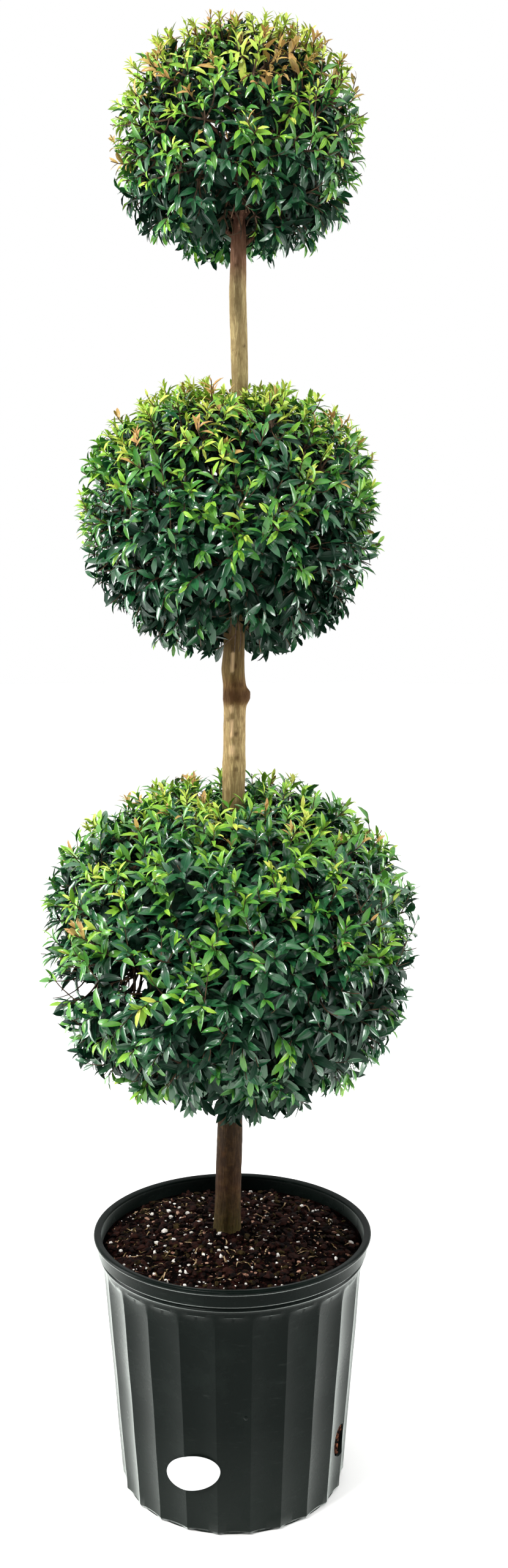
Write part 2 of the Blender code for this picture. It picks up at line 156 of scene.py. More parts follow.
def new_material(name, roughness, specular=0.5):
    """A Principled material, its node tree and the Object coordinates that its patterns read."""
    material = bpy.data.materials.new(name)
    material.use_nodes = True
    nodes = material.node_tree.nodes
    shader = nodes["Principled BSDF"]
    shader.inputs["Roughness"].default_value = roughness
    shader.inputs["Specular IOR Level"].default_value = specular
    place = nodes.new("ShaderNodeTexCoord").outputs["Object"]
    return material, material.node_tree, shader, place


def make_blotches():
    """Shader group: soft irregular patches, as of dust, stain or uneven growth, at any size."""
    group = bpy.data.node_groups.new("blotches", "ShaderNodeTree")
    sockets = group.interface
    sockets.new_socket("Place", in_out="INPUT", socket_type="NodeSocketVector")
    for name in ("Scale", "Start", "Full"):
        sockets.new_socket(name, in_out="INPUT", socket_type="NodeSocketFloat")
    sockets.new_socket("Mask", in_out="OUTPUT", socket_type="NodeSocketFloat")
    inside = group.nodes.new("NodeGroupInput")
    outside = group.nodes.new("NodeGroupOutput")
    cloud = group.nodes.new("ShaderNodeTexNoise")
    cloud.inputs["Detail"].default_value = 5.0
    cloud.inputs["Roughness"].default_value = 0.62
    spread = group.nodes.new("ShaderNodeMapRange")
    group.links.new(inside.outputs["Place"], cloud.inputs["Vector"])
    group.links.new(inside.outputs["Scale"], cloud.inputs["Scale"])
    group.links.new(cloud.outputs["Fac"], spread.inputs["Value"])
    group.links.new(inside.outputs["Start"], spread.inputs["From Min"])
    group.links.new(inside.outputs["Full"], spread.inputs["From Max"])
    group.links.new(spread.outputs["Result"], outside.inputs["Mask"])
    return group


BLOTCHES = make_blotches()


def blotches(tree, place, scale, start, full):
    """Mask of patches: scale gives their number to a metre, and start and full where their edges fade."""
    patch = tree.nodes.new("ShaderNodeGroup")
    patch.node_tree = BLOTCHES
    tree.links.new(place, patch.inputs["Place"])
    patch.inputs["Scale"].default_value = scale
    patch.inputs["Start"].default_value = start
    patch.inputs["Full"].default_value = full
    return patch.outputs["Mask"]


def stretched(tree, place, scale):
    """The same place with each axis scaled, so that a pattern runs longer one way."""
    mapping = tree.nodes.new("ShaderNodeMapping")
    mapping.inputs["Scale"].default_value = scale
    tree.links.new(place, mapping.inputs["Vector"])
    return mapping.outputs["Vector"]


def axes(tree, place):
    """The X, Y and Z of a place as values of their own."""
    parts = tree.nodes.new("ShaderNodeSeparateXYZ")
    tree.links.new(place, parts.inputs["Vector"])
    return parts.outputs


def blended(tree, mask, below, above, way="MIX"):
    """Colour that goes from below to above as the mask goes from 0 to 1."""
    mix = tree.nodes.new("ShaderNodeMix")
    mix.data_type = "RGBA"
    mix.blend_type = way
    tree.links.new(mask, mix.inputs["Factor"])
    for name, colour in (("A", below), ("B", above)):
        socket = next(s for s in mix.inputs if s.name == name and s.type == "RGBA")
        if isinstance(colour, tuple):
            socket.default_value = colour
        else:
            tree.links.new(colour, socket)
    return next(s for s in mix.outputs if s.type == "RGBA")


def between(tree, value, low, high, start=0.0, full=1.0):
    """A value that goes from low to high as the one read goes from start to full."""
    spread = tree.nodes.new("ShaderNodeMapRange")
    tree.links.new(value, spread.inputs["Value"])
    spread.inputs["From Min"].default_value = start
    spread.inputs["From Max"].default_value = full
    spread.inputs["To Min"].default_value = low
    spread.inputs["To Max"].default_value = high
    return spread.outputs["Result"]


def add_bump(tree, shader, height, distance, strength=1.0):
    bump = tree.nodes.new("ShaderNodeBump")
    bump.inputs["Distance"].default_value = distance
    bump.inputs["Strength"].default_value = strength
    tree.links.new(height, bump.inputs["Height"])
    tree.links.new(bump.outputs["Normal"], shader.inputs["Normal"])


def make_pot_plastic():
    """Black plastic with smudges, level scuffs, a soft sheen up to its lip and a foot painted lighter for
    light bounced up from the floor.
    """
    material, tree, shader, place = new_material("pot_plastic", 0.30, 0.05)
    shader.inputs["Sheen Roughness"].default_value = 0.29
    shader.inputs["Sheen Tint"].default_value = (0.92, 1.0, 0.95, 1.0)
    smudges = blotches(tree, place, 26.0, 0.50, 0.80)
    scuffs = blotches(tree, stretched(tree, place, (1.0, 1.0, 6.0)), 60.0, 0.60, 0.85)
    height = axes(tree, place)["Z"]
    # Painted light: the colour lightens down to the floor, standing in for light bounced up from it
    bounce_lit_foot = blended(tree, between(tree, height, 0.0, 0.28, 0.11, 0.0), POT_BLACK, POT_DUST_AND_BOUNCE)
    smudged_bounce_lit = blended(tree, smudges, bounce_lit_foot, POT_SMUDGE)
    scuffed = blended(tree, between(tree, scuffs, 0.0, 0.35), smudged_bounce_lit, POT_DUST_AND_BOUNCE)
    tree.links.new(scuffed, shader.inputs["Base Color"])
    tree.links.new(between(tree, height, 1.0, 0.04, 0.2440, 0.2458), shader.inputs["Sheen Weight"])
    tree.links.new(between(tree, smudges, 0.26, 0.38), shader.inputs["Roughness"])
    add_bump(tree, shader, blotches(tree, place, 900.0, 0.2, 0.8), 0.00012, 0.5)
    return material


def flute_share(angle):
    """0 on the ridges between flutes, 1 along the middle of each."""
    across = (angle - RIDGE_ANGLE) / (math.tau / FLUTES) % 1.0
    return 1 - (2 * across - 1) ** 2


def pot_outline():
    """Half the pot's section: out along its underside, up the wall, over the lip and back inside."""
    foot, ledge = wall_radius(0), wall_radius(LEDGE_TOP_Z)
    outline = [(0.0, 0.0), (0.060, 0.0), (foot - FOOT_ROUND, 0.0), (foot - 0.0014, 0.0008)]
    outline += [(wall_radius(z), z) for z in np.linspace(FOOT_ROUND, FLUTE_HEAD_Z, WALL_ROWS).tolist()]
    outline += [(ledge, 0.2170), (ledge, LEDGE_TOP_Z), (ledge + 0.0003, 0.2215), (ledge + 0.0012, 0.2240)]
    outline += [(BEAD[0], 0.2246), *round_corner(BEAD, BEAD_RADIUS, -60, 60, 4)]
    outline += [*RIM_OUTSIDE, *round_corner(LIP, LIP_RADIUS, -80, 120, 10), *RIM_INSIDE]
    outline += [(ledge - WALL_SET_IN, 0.2180), (wall_radius(POT_FLOOR_Z) - WALL_SET_IN, POT_FLOOR_Z)]
    return [*outline, (0.0, POT_FLOOR_Z)]


def pot_shape():
    """The turned pot, with flutes arched at their heads pressed into a wall that isn't quite true."""
    shape = spun(pot_outline(), POT_STEPS)
    turn = Matrix.Rotation(RIDGE_ANGLE - math.pi / 2, 3, "Z")
    bmesh.ops.rotate(shape, verts=shape.verts, matrix=turn)
    for point in shape.verts:
        reach, height = point.co.xy.length, point.co.z
        if reach < wall_radius(height) - OUTER_SKIN or height > LEDGE_TOP_Z - HAIR:
            continue
        angle = math.atan2(point.co.x, -point.co.y)
        share = flute_share(angle)
        hollow = FLUTE_DEPTH * share
        if height > FLUTE_HEAD_Z + HAIR:
            hollow *= LEDGE_HOLLOW
        elif height > FLUTE_ARCH_FOOT_Z:
            up_arch = (height - FLUTE_ARCH_FOOT_Z) / (FLUTE_HEAD_Z - FLUTE_ARCH_FOOT_Z)
            point.co.z -= FLUTE_ARCH_DROP * share * up_arch
        if FOOT_ROUND + HAIR < height < FLUTE_HEAD_Z:
            wave = noise.noise(Vector((3 * angle, 0.0, 22 * height)))
            hollow += 0.6 * WALL_WAVE + WALL_WAVE * wave
        point.co.xy *= (reach - hollow) / reach
    return shape


def punched(mesh, cutters):
    """The mesh with the cutters' shapes taken out of it."""
    blank = bpy.data.objects.new("blank", mesh)
    bpy.context.scene.collection.objects.link(blank)
    for cutter in cutters:
        cut = blank.modifiers.new("cut", "BOOLEAN")
        cut.object = cutter
    graph = bpy.context.evaluated_depsgraph_get()
    done = bpy.data.meshes.new_from_object(blank.evaluated_get(graph))
    for used in [blank, *cutters]:
        bpy.data.objects.remove(used)
    return done


def hole_cutter(angle):
    """An oval peg that stands through the wall, as wide and high as a drainage hole."""
    shape = bmesh.new()
    bmesh.ops.create_cone(shape, cap_ends=True, segments=40, radius1=1, radius2=1, depth=HOLE_CUT_DEPTH)
    bmesh.ops.scale(shape, verts=shape.verts, vec=(HOLE_HALF_WIDTH, HOLE_HALF_HEIGHT, 1.0))
    bmesh.ops.rotate(shape, verts=shape.verts, matrix=Matrix.Rotation(math.pi / 2, 3, "X"))
    bmesh.ops.translate(shape, verts=shape.verts, vec=(0, 0.002 - wall_radius(HOLE_Z), HOLE_Z))
    bmesh.ops.rotate(shape, verts=shape.verts, matrix=Matrix.Rotation(angle, 3, "Z"))
    cutter = bpy.data.objects.new("hole_cutter", finished_mesh("hole_cutter", shape))
    bpy.context.scene.collection.objects.link(cutter)
    return cutter


def moulding_mark():
    """A low round button on the wall, a little right of the middle of the front."""
    shape = bmesh.new()
    bmesh.ops.create_uvsphere(shape, u_segments=20, v_segments=10, radius=MARK_RADIUS)
    bmesh.ops.scale(shape, verts=shape.verts, vec=(1.0, 0.42, 1.0))
    bmesh.ops.translate(shape, verts=shape.verts, vec=(0, 0.0021 - wall_radius(MARK_Z), MARK_Z))
    bmesh.ops.rotate(shape, verts=shape.verts, matrix=Matrix.Rotation(MARK_ANGLE, 3, "Z"))
    return finished_mesh("moulding_mark", shape)


pot_plastic = make_pot_plastic()
pot_mesh = punched(
    finished_mesh("pot_wall", pot_shape()),
    [hole_cutter(HOLE_ANGLE), hole_cutter(HOLE_ANGLE + math.pi)],
)
add_piece("pot_shell", pot_mesh, pot_plastic, ["pot"], 28)
add_piece("pot_moulding_mark", moulding_mark(), pot_plastic)

# Potting mix: damp dark peat and composted bark, mounded towards the stem and filling the pot to just
# under its rim. White perlite, chips of bark and straw-coloured fibres lie loose in its top.

MIX_GAP = 0.00035
MIX_EDGE_Z = 0.2340
MIX_CROWN_Z = 0.2425
MIX_EDGE_RADIUS = 0.1229
MIX_CROWN_RADIUS = 0.018
MIX_SETTLED = 0.0018
SUNK_FROM_RADIUS = 0.112
SUNK_AT_EDGE = 0.0035
CLOD_RISE = 0.0026
CRUMB_RISE = 0.0016
BANK_RISE = 0.0048
BANK_SPREAD = 0.0045
STEM_FOOT_X = -0.0052
STEM_FOOT_RADIUS = 0.0139
MIX_DARK = (0.0015, 0.0009, 0.0009, 1.0)
MIX_RUST = (0.018, 0.0050, 0.0040, 1.0)
MIX_PALE = (0.050, 0.026, 0.018, 1.0)
LOOSE_FROM_RADIUS = 0.016
LOOSE_FINENESS = 2.2
# Loose lumps on the mix: their number, shortest and longest, width and thickness as shares of the length,
# seed, share of the thickness that they stand up, material, its colour, its shaded colour, patches to a
# metre and roughness
LOOSE_LUMPS = {
    "perlite_crumbs": (
        (330, (0.0010, 0.0058), (0.85, 0.70), 3, 0.25),
        ("perlite", (0.80, 0.78, 0.74, 1.0), (0.60, 0.56, 0.50, 1.0), 300.0, 0.85),
    ),
    "bark_crumbs": (
        (1900, (0.0020, 0.0125), (0.60, 0.42), 4, 0.30),
        ("chip_brown", (0.024, 0.0074, 0.0048, 1.0), (0.0022, 0.0011, 0.0010, 1.0), 160.0, 0.75),
    ),
    "peat_crumbs": (
        (800, (0.0016, 0.0095), (0.60, 0.42), 9, 0.32),
        ("chip_olive", (0.034, 0.022, 0.006, 1.0), (0.0040, 0.0026, 0.0010, 1.0), 160.0, 0.75),
    ),
    "bark_chips": (
        (430, (0.0014, 0.0070), (0.55, 0.35), 6, 0.50),
        ("chip_tan", (0.46, 0.280, 0.200, 1.0), (0.130, 0.056, 0.036, 1.0), 260.0, 0.7),
    ),
}
HOLE_RUST = (0.200, 0.072, 0.034, 1.0)
HOLE_SHADE = (0.030, 0.010, 0.006, 1.0)
HOLE_CRUMBS = 26
HOLE_CRUMB_SET_IN = 0.0062
FIBRES = 170
FIBRE_LENGTHS = (0.004, 0.015)
FIBRE_WIDTH = 0.0012
FIBRE_ARCH = 0.12
FIBRE_STEPS = 7
FIBRE_STRAW = (0.42, 0.300, 0.180, 1.0)
FIBRE_SHADE = (0.090, 0.060, 0.020, 1.0)


def mix_height(x, y):
    """Top of the potting mix, with its clods, banked up round the stem's foot."""
    reach = min(math.hypot(x, y), MIX_EDGE_RADIUS)
    share = (MIX_EDGE_RADIUS - reach) / (MIX_EDGE_RADIUS - MIX_CROWN_RADIUS)
    mound = (MIX_CROWN_Z - MIX_EDGE_Z) * math.sin(min(share, 1.0) * math.pi / 2)
    clods = CLOD_RISE * noise.noise(Vector((x * 95, y * 95, 2.7)))
    crumbs = CRUMB_RISE * noise.noise(Vector((x * 300, y * 300, 9.1)))
    to_edge = max(0.0, (reach - SUNK_FROM_RADIUS) / (MIX_EDGE_RADIUS - SUNK_FROM_RADIUS))
    sunk = SUNK_AT_EDGE * to_edge**2
    off_stem = max(0.0, math.hypot(x - STEM_FOOT_X, y) - STEM_FOOT_RADIUS)
    bank = BANK_RISE * math.exp(-off_stem / BANK_SPREAD)
    return MIX_EDGE_Z + mound + clods + crumbs + bank - sunk - MIX_SETTLED


def mix_shape():
    """The body of the mix, which fills the pot but for a hair's gap to its wall and floor."""
    floor_z, set_in = POT_FLOOR_Z + MIX_GAP, WALL_SET_IN + MIX_GAP
    side = [(0.0, floor_z), (wall_radius(POT_FLOOR_Z) - set_in, floor_z)]
    side += [(wall_radius(z) - set_in, z) for z in (0.02, 0.035, 0.05, 0.12, 0.2181)]
    side += [(0.1223, 0.2265), (MIX_EDGE_RADIUS, 0.2325)]
    top = [(radius, MIX_EDGE_Z) for radius in np.linspace(MIX_EDGE_RADIUS, 0.0, 74).tolist()]
    shape = spun(side + top, 220)
    for point in shape.verts:
        if point.co.z > MIX_EDGE_Z - HAIR:
            point.co.z = mix_height(point.co.x, point.co.y)
    return shape


def make_potting_mix():
    material, tree, shader, place = new_material("potting_mix", 0.90, 0.02)
    rust = blotches(tree, place, 150.0, 0.50, 0.66)
    pale = blotches(tree, place, 420.0, 0.66, 0.76)
    earth = blended(tree, rust, MIX_DARK, MIX_RUST)
    tree.links.new(blended(tree, pale, earth, MIX_PALE), shader.inputs["Base Color"])
    add_bump(tree, shader, blotches(tree, place, 360.0, 0.25, 0.75), 0.0016)
    return material


def make_loose_material(name, colour, shaded, scale, roughness):
    """Matt and grainy, with darker damp patches."""
    material, tree, shader, place = new_material(name, roughness, 0.05)
    patch = blotches(tree, place, scale, 0.42, 0.62)
    tree.links.new(blended(tree, patch, shaded, colour), shader.inputs["Base Color"])
    add_bump(tree, shader, blotches(tree, place, 1400.0, 0.3, 0.7), 0.0003)
    return material


def joined_mesh(name, points, triangles):
    """One mesh from arrays of points and of triangles."""
    points = np.asarray(points, np.float32).reshape(-1, 3)
    triangles = np.asarray(triangles, np.int32).reshape(-1, 3)
    mesh = bpy.data.meshes.new(name)
    mesh.vertices.add(len(points))
    mesh.vertices.foreach_set("co", points.ravel())
    mesh.loops.add(triangles.size)
    mesh.loops.foreach_set("vertex_index", triangles.ravel())
    mesh.polygons.add(len(triangles))
    mesh.polygons.foreach_set("loop_start", np.arange(0, triangles.size, 3, dtype=np.int32))
    mesh.update(calc_edges=True)
    return mesh


def round_lump(subdivisions):
    """Points and triangles of a ball of radius 1."""
    shape = bmesh.new()
    bmesh.ops.create_icosphere(shape, subdivisions=subdivisions, radius=1.0)
    points = np.array([point.co[:] for point in shape.verts])
    triangles = np.array([[corner.index for corner in face.verts] for face in shape.faces])
    shape.free()
    return points, triangles


def scattered_lumps(name, count, sizes, squash, seed, lift):
    """Rough lumps that lie in the top of the mix, most of them small."""
    chance = np.random.default_rng(seed)
    lump, faces = round_lump(1)
    points, triangles = [], []
    for number in range(count):
        size = sizes[0] + (sizes[1] - sizes[0]) * chance.random() ** LOOSE_FINENESS
        furthest = MIX_EDGE_RADIUS - 0.6 * size - 0.001
        reach = math.sqrt(chance.uniform(LOOSE_FROM_RADIUS**2, furthest**2))
        azimuth = chance.uniform(0, math.tau)
        x, y = reach * math.cos(azimuth), reach * math.sin(azimuth)
        rough = lump * (1 + chance.uniform(-0.22, 0.22, (len(lump), 1)))
        shares = np.array([1.0, *squash]) * chance.uniform(0.75, 1.2, 3)
        turn = Matrix.Rotation(chance.uniform(0, math.tau), 3, "Z")
        pitch = Matrix.Rotation(chance.normal(0, 0.30), 3, "X")
        roll = Matrix.Rotation(chance.normal(0, 0.22), 3, "Y")
        placed = (rough * shares * size / 2) @ np.array(turn @ (pitch @ roll)).T
        placed += (x, y, mix_height(x, y) + lift * size * squash[1])
        triangles.append(faces + len(lump) * number)
        points.append(placed)
    return joined_mesh(name, np.concatenate(points), np.concatenate(triangles))


def wood_fibres():
    """Thin bent slivers, each a strip with a lens-shaped section that tapers to both ends."""
    chance = np.random.default_rng(7)
    points, triangles = [], []
    for _ in range(FIBRES):
        length = chance.uniform(*FIBRE_LENGTHS)
        reach = math.sqrt(chance.uniform(0.020**2, (MIX_EDGE_RADIUS - 0.62 * length) ** 2))
        azimuth = chance.uniform(0, math.tau)
        middle = np.array([reach * math.cos(azimuth), reach * math.sin(azimuth)])
        heading = chance.uniform(0, math.tau)
        bend = chance.uniform(-0.9, 0.9)
        rise = FIBRE_ARCH * chance.random() * length
        first = len(points)
        for step in range(FIBRE_STEPS):
            share = step / (FIBRE_STEPS - 1)
            turn = heading + bend * (share - 0.5)
            spot = middle + (share - 0.5) * length * np.array([math.cos(turn), math.sin(turn)])
            half = FIBRE_WIDTH / 2 * (0.25 + math.sin(math.pi * share)) * chance.uniform(0.8, 1.1)
            side = half * np.array([-math.sin(turn), math.cos(turn)])
            height = mix_height(*spot) + 0.0007 + rise * math.sin(math.pi * share)
            points.append((*(spot + side), height))
            points.append((*spot, height + 0.35 * half))
            points.append((*(spot - side), height))
            points.append((*spot, height - 0.35 * half))
        for step in range(FIBRE_STEPS - 1):
            low = first + 4 * step
            for corner in range(4):
                a, b = low + corner, low + (corner + 1) % 4
                triangles += [(a, b, b + 4), (a, b + 4, a + 4)]
        last = first + 4 * (FIBRE_STEPS - 1)
        triangles += [(first, first + 2, first + 1), (first, first + 3, first + 2)]
        triangles += [(last, last + 1, last + 2), (last, last + 2, last + 3)]
    return joined_mesh("wood_fibres", points, triangles)


def hole_crumbs():
    """Crumbs of the mix that press against the two drainage holes from inside."""
    chance = np.random.default_rng(8)
    lump, faces = round_lump(2)
    points, triangles = [], []
    for azimuth in (HOLE_ANGLE, HOLE_ANGLE + math.pi):
        for _ in range(HOLE_CRUMBS):
            angle = azimuth + chance.uniform(-0.13, 0.13)
            z = HOLE_Z + chance.uniform(-0.017, 0.017)
            reach = wall_radius(z) - HOLE_CRUMB_SET_IN
            rough = lump * (1 + chance.uniform(-0.2, 0.2, (len(lump), 1)))
            placed = rough * chance.uniform(0.0014, 0.0034, 3)
            placed += (reach * math.sin(angle), -reach * math.cos(angle), z)
            triangles.append(faces + len(lump) * len(points))
            points.append(placed)
    return joined_mesh("hole_crumbs", np.concatenate(points), np.concatenate(triangles))


potting_mix = make_potting_mix()
hole_rust = make_loose_material("hole_rust", HOLE_RUST, HOLE_SHADE, 200.0, 0.8)
fibre_straw = make_loose_material("fibre_straw", FIBRE_STRAW, FIBRE_SHADE, 260.0, 0.7)
mix_mesh = finished_mesh("potting_mix", mix_shape())
add_piece("potting_mix_body", mix_mesh, potting_mix, ["soil"])
for lumps_name, (lump_sizes, lump_finish) in LOOSE_LUMPS.items():
    lumps_mesh = scattered_lumps(lumps_name, *lump_sizes)
    add_piece(lumps_name, lumps_mesh, make_loose_material(*lump_finish))
add_piece("hole_crumbs", hole_crumbs(), hole_rust)
add_piece("wood_fibres", wood_fibres(), fibre_straw)

# Sticker: a die-cut oval of white film stuck low on the front wall, bare. It bridges the ridges of the
# flutes and sinks a little into them.

STICKER_ANGLE = math.radians(-18.7)
STICKER_Z = 0.0603
STICKER_HALF_WIDTH = 0.0272
STICKER_HALF_HEIGHT = 0.0168
STICKER_TILT = math.radians(19)
STICKER_SIDES = 72
STICKER_SAG = 0.0007
FILM = 0.00025
FILM_WHITE = (0.80, 0.82, 0.83, 1.0)
FILM_STAIN = (0.70, 0.72, 0.71, 1.0)


def sticker_shape():
    """An oval disc in rings, given its thickness and then bent round the wall, tilted."""
    shape = bmesh.new()
    bmesh.ops.create_circle(shape, cap_ends=True, segments=STICKER_SIDES, radius=1.0)
    for width in (0.03, 0.12, 0.15, 0.15, 0.15, 0.15, 0.15):
        middle = [face for face in shape.faces if len(face.verts) == STICKER_SIDES]
        bmesh.ops.inset_individual(shape, faces=middle, thickness=width)
    middle = [face for face in shape.faces if len(face.verts) == STICKER_SIDES]
    bmesh.ops.poke(shape, faces=middle)
    cover = bmesh.ops.extrude_face_region(shape, geom=shape.faces[:], use_keep_orig=True)
    outer = {item for item in cover["geom"] if isinstance(item, bmesh.types.BMVert)}
    turn = Matrix.Rotation(STICKER_TILT, 2)
    for point in shape.verts:
        flat = turn @ Vector((point.co.x * STICKER_HALF_WIDTH, point.co.y * STICKER_HALF_HEIGHT))
        angle = STICKER_ANGLE + flat.x / wall_radius(STICKER_Z)
        height = STICKER_Z + flat.y
        sag = STICKER_SAG * flute_share(angle)
        radius = wall_radius(height) - HAIR - sag + (FILM if point in outer else 0.0)
        point.co = (radius * math.sin(angle), -radius * math.cos(angle), height)
    return shape


def make_film():
    material, tree, shader, place = new_material("white_film", 0.42)
    stain = blotches(tree, place, 55.0, 0.50, 0.78)
    tree.links.new(blended(tree, stain, FILM_WHITE, FILM_STAIN), shader.inputs["Base Color"])
    tree.links.new(between(tree, stain, 0.34, 0.5), shader.inputs["Roughness"])
    add_bump(tree, shader, blotches(tree, place, 130.0, 0.2, 0.8), 0.0003, 0.35)
    return material


sticker_mesh = finished_mesh("sticker_film", sticker_shape())
add_piece("sticker_film", sticker_mesh, make_film(), ["sticker"], 60)

# Stem: one upright leader, pruned bare between the leaf balls. Its thin bark is dark and flaky at the
# foot, tan and finely cracked above, with a swollen pruning scar under the middle ball and small knots.

STEM_STATIONS = (
    (0.2431, STEM_FOOT_X, STEM_FOOT_RADIUS),
    (0.2500, STEM_FOOT_X, 0.0129),
    (0.2750, -0.0045, 0.0124),
    (0.3430, -0.0023, 0.0119),
    (0.5000, -0.0002, 0.0109),
    (0.6500, 0.0015, 0.0102),
    (0.6900, 0.0022, 0.0109),
    (0.7010, 0.0024, 0.0101),
    (0.7380, 0.0029, 0.0100),
    (0.7520, 0.0038, 0.0115),
    (0.7640, 0.0026, 0.0101),
    (0.7740, 0.0014, 0.0106),
    (0.7900, 0.0022, 0.0097),
    (0.9000, 0.0050, 0.0086),
    (1.0280, 0.0080, 0.0073),
    (1.1000, 0.0061, 0.0076),
    (1.1440, 0.0070, 0.0068),
    (1.1700, 0.0077, 0.0046),
    (1.2100, 0.0084, 0.0030),
    (1.2495, 0.0086, 0.0015),
)
STEM_STEPS = 40
STEM_ROWS = 520
SMOOTH_ROWS = 9
FIBRE_RELIEF = 0.00042
CRACK_RELIEF = 0.00030
FLAKE_RELIEF = 0.00016
SCAR_Z = 0.7515
SCAR_HALF_HEIGHT = 0.0065
SCAR_BULGE = 0.0016
KNOT_RELIEF = 0.00045
WOUND_DEPTH = 0.0003
# Heights and azimuths, in degrees from the front towards +X, of small dark knots and their radii
KNOTS = (
    (0.7620, 0, 0.0022),
    (0.7620, 32, 0.0024),
    (0.7500, 9, 0.0024),
    (0.7480, 52, 0.0028),
    (0.7520, 80, 0.0034),
    (0.7480, -22, 0.0022),
    (0.7180, 8, 0.0022),
    (0.6964, 17, 0.0024),
    (0.6860, 11, 0.0022),
    (0.7307, -37, 0.0016),
    (0.7790, 8, 0.0022),
    (1.1230, -12, 0.0021),
    (1.0800, 150, 0.0020),
    (1.0560, 40, 0.0014),
    (0.3240, -25, 0.0024),
    (0.2900, 35, 0.0020),
    (0.7300, 160, 0.0024),
    (0.3100, 170, 0.0024),
)
# Pale strips where the bark is rubbed away: lower and upper height, azimuth in degrees and half width
WOUNDS = (
    (0.7160, 0.7290, -15, 0.0017),
    (0.7385, 0.7420, -18, 0.0015),
    (0.7740, 0.7900, -4, 0.0014),
    (0.7010, 0.7060, -12, 0.0024),
)


def stem_at(height):
    """Sideways lean and radius of the stem at a height."""
    rows = np.array(STEM_STATIONS)
    return np.interp(height, rows[:, 0], rows[:, 1]), np.interp(height, rows[:, 0], rows[:, 2])


def smoothed(values):
    """The same values with the corners between stations rounded off."""
    weights = np.hanning(SMOOTH_ROWS)
    return np.convolve(np.pad(values, SMOOTH_ROWS // 2, "edge"), weights / weights.sum(), "valid")


def knot_relief(azimuth, height, reach):
    """How the knots raise and sink the bark at a place, and how dark they make it."""
    relief, dark = 0.0, 0.0
    for knot_z, degrees, knot_radius in KNOTS:
        around = reach * math.remainder(azimuth - math.radians(degrees), math.tau)
        gap = math.hypot(around, height - knot_z) / knot_radius
        if gap < 3:
            ring = math.exp(-((gap - 1.0) ** 2) * 3) - 0.9 * math.exp(-(gap**2) * 3)
            relief += KNOT_RELIEF * ring
            dark = max(dark, math.exp(-(gap**2)))
    return relief, dark


def rubbed_share(azimuth, height, reach):
    """How far the bark is rubbed away at a place, from 0 to 1."""
    bare = 0.0
    for low_z, high_z, degrees, half in WOUNDS:
        around = reach * math.remainder(azimuth - math.radians(degrees), math.tau) / half
        along = max(low_z - height, height - high_z, 0.0) / half
        bare = max(bare, math.exp(-((around**2 + along**2) ** 1.5)))
    return bare


def stem_shape():
    """The stem turned from its stations, leaned to them, with its bark's relief, scar, knots and wounds."""
    low, high = STEM_STATIONS[0][0], STEM_STATIONS[-1][0]
    heights = np.linspace(low, high, STEM_ROWS)
    leans, radii = (smoothed(values) for values in stem_at(heights))
    profile = [(0.0, low), *zip(radii.tolist(), heights.tolist()), (0.0, high)]
    shape = spun(profile, STEM_STEPS)
    marks = shape.verts.layers.float.new("scar")
    rubbed = shape.verts.layers.float.new("wound")
    for point in shape.verts:
        height, reach = point.co.z, point.co.xy.length
        azimuth = math.atan2(point.co.x, -point.co.y)
        lean = float(np.interp(height, heights, leans))
        if reach > 0.0005:
            outward = Vector((math.sin(azimuth), -math.cos(azimuth), 0.0))
            coarse = 1.0 if height < 0.36 else 0.85
            fibres = noise.noise(Vector((outward.x * 5.5, outward.y * 5.5, height * 34)))
            cracks = noise.noise(Vector((outward.x * 11, outward.y * 11, height * 90)))
            flakes = noise.noise(Vector((outward.x * 3.2, outward.y * 3.2, height * 160)))
            relief = FIBRE_RELIEF * fibres - CRACK_RELIEF * abs(cracks) + FLAKE_RELIEF * flakes
            scar = math.exp(-(((height - SCAR_Z) / SCAR_HALF_HEIGHT) ** 4))
            bulge = scar * (0.0002 + SCAR_BULGE * max(0.0, outward.x) ** 3)
            bulge += 0.0009 * scar * (cracks + flakes)
            raised, dark = knot_relief(azimuth, height, reach)
            bare = rubbed_share(azimuth, height, reach)
            relief = coarse * relief + raised - WOUND_DEPTH * bare
            point[rubbed] = bare
            point[marks] = max(scar, dark)
            fade = min(1.0, reach / 0.006)
            point.co.xy += outward.xy * (relief * fade + bulge - HAIR)
        point.co.x += lean
    return shape


BARK_CREVICE = (0.34, 0.26, 0.20, 1.0)
BARK_PLATE = (0.100, 0.054, 0.018, 1.0)
BARK_SCAR = (0.060, 0.026, 0.008, 1.0)
BARE_WOOD = (0.72, 0.50, 0.28, 1.0)
# The bark's colour at heights up the stem. The stops at 0.772 and 0.800, at the foot of the middle ball,
# and at 1.125 and 1.160, inside the top ball, are darkened with painted shade from the leaves.
BARK_AND_SHADE_BY_HEIGHT = (
    (0.243, (0.045, 0.034, 0.006, 1.0)),
    (0.268, (0.042, 0.026, 0.006, 1.0)),
    (0.290, (0.042, 0.019, 0.007, 1.0)),
    (0.345, (0.034, 0.019, 0.008, 1.0)),
    (0.600, (0.150, 0.100, 0.048, 1.0)),
    (0.690, (0.440, 0.335, 0.150, 1.0)),
    (0.741, (0.410, 0.295, 0.135, 1.0)),
    (0.746, (0.190, 0.105, 0.034, 1.0)),
    (0.762, (0.150, 0.083, 0.026, 1.0)),
    (0.772, (0.155, 0.105, 0.034, 1.0)),
    (0.800, (0.150, 0.100, 0.040, 1.0)),
    (1.030, (0.360, 0.285, 0.130, 1.0)),
    (1.105, (0.400, 0.310, 0.150, 1.0)),
    (1.125, (0.240, 0.130, 0.078, 1.0)),
    (1.160, (0.180, 0.085, 0.060, 1.0)),
)


def attribute_mask(tree, name, most):
    """Mask from one of the mesh's own attributes, up to most."""
    mark = tree.nodes.new("ShaderNodeAttribute")
    mark.attribute_name = name
    return between(tree, mark.outputs["Fac"], 0.0, most)


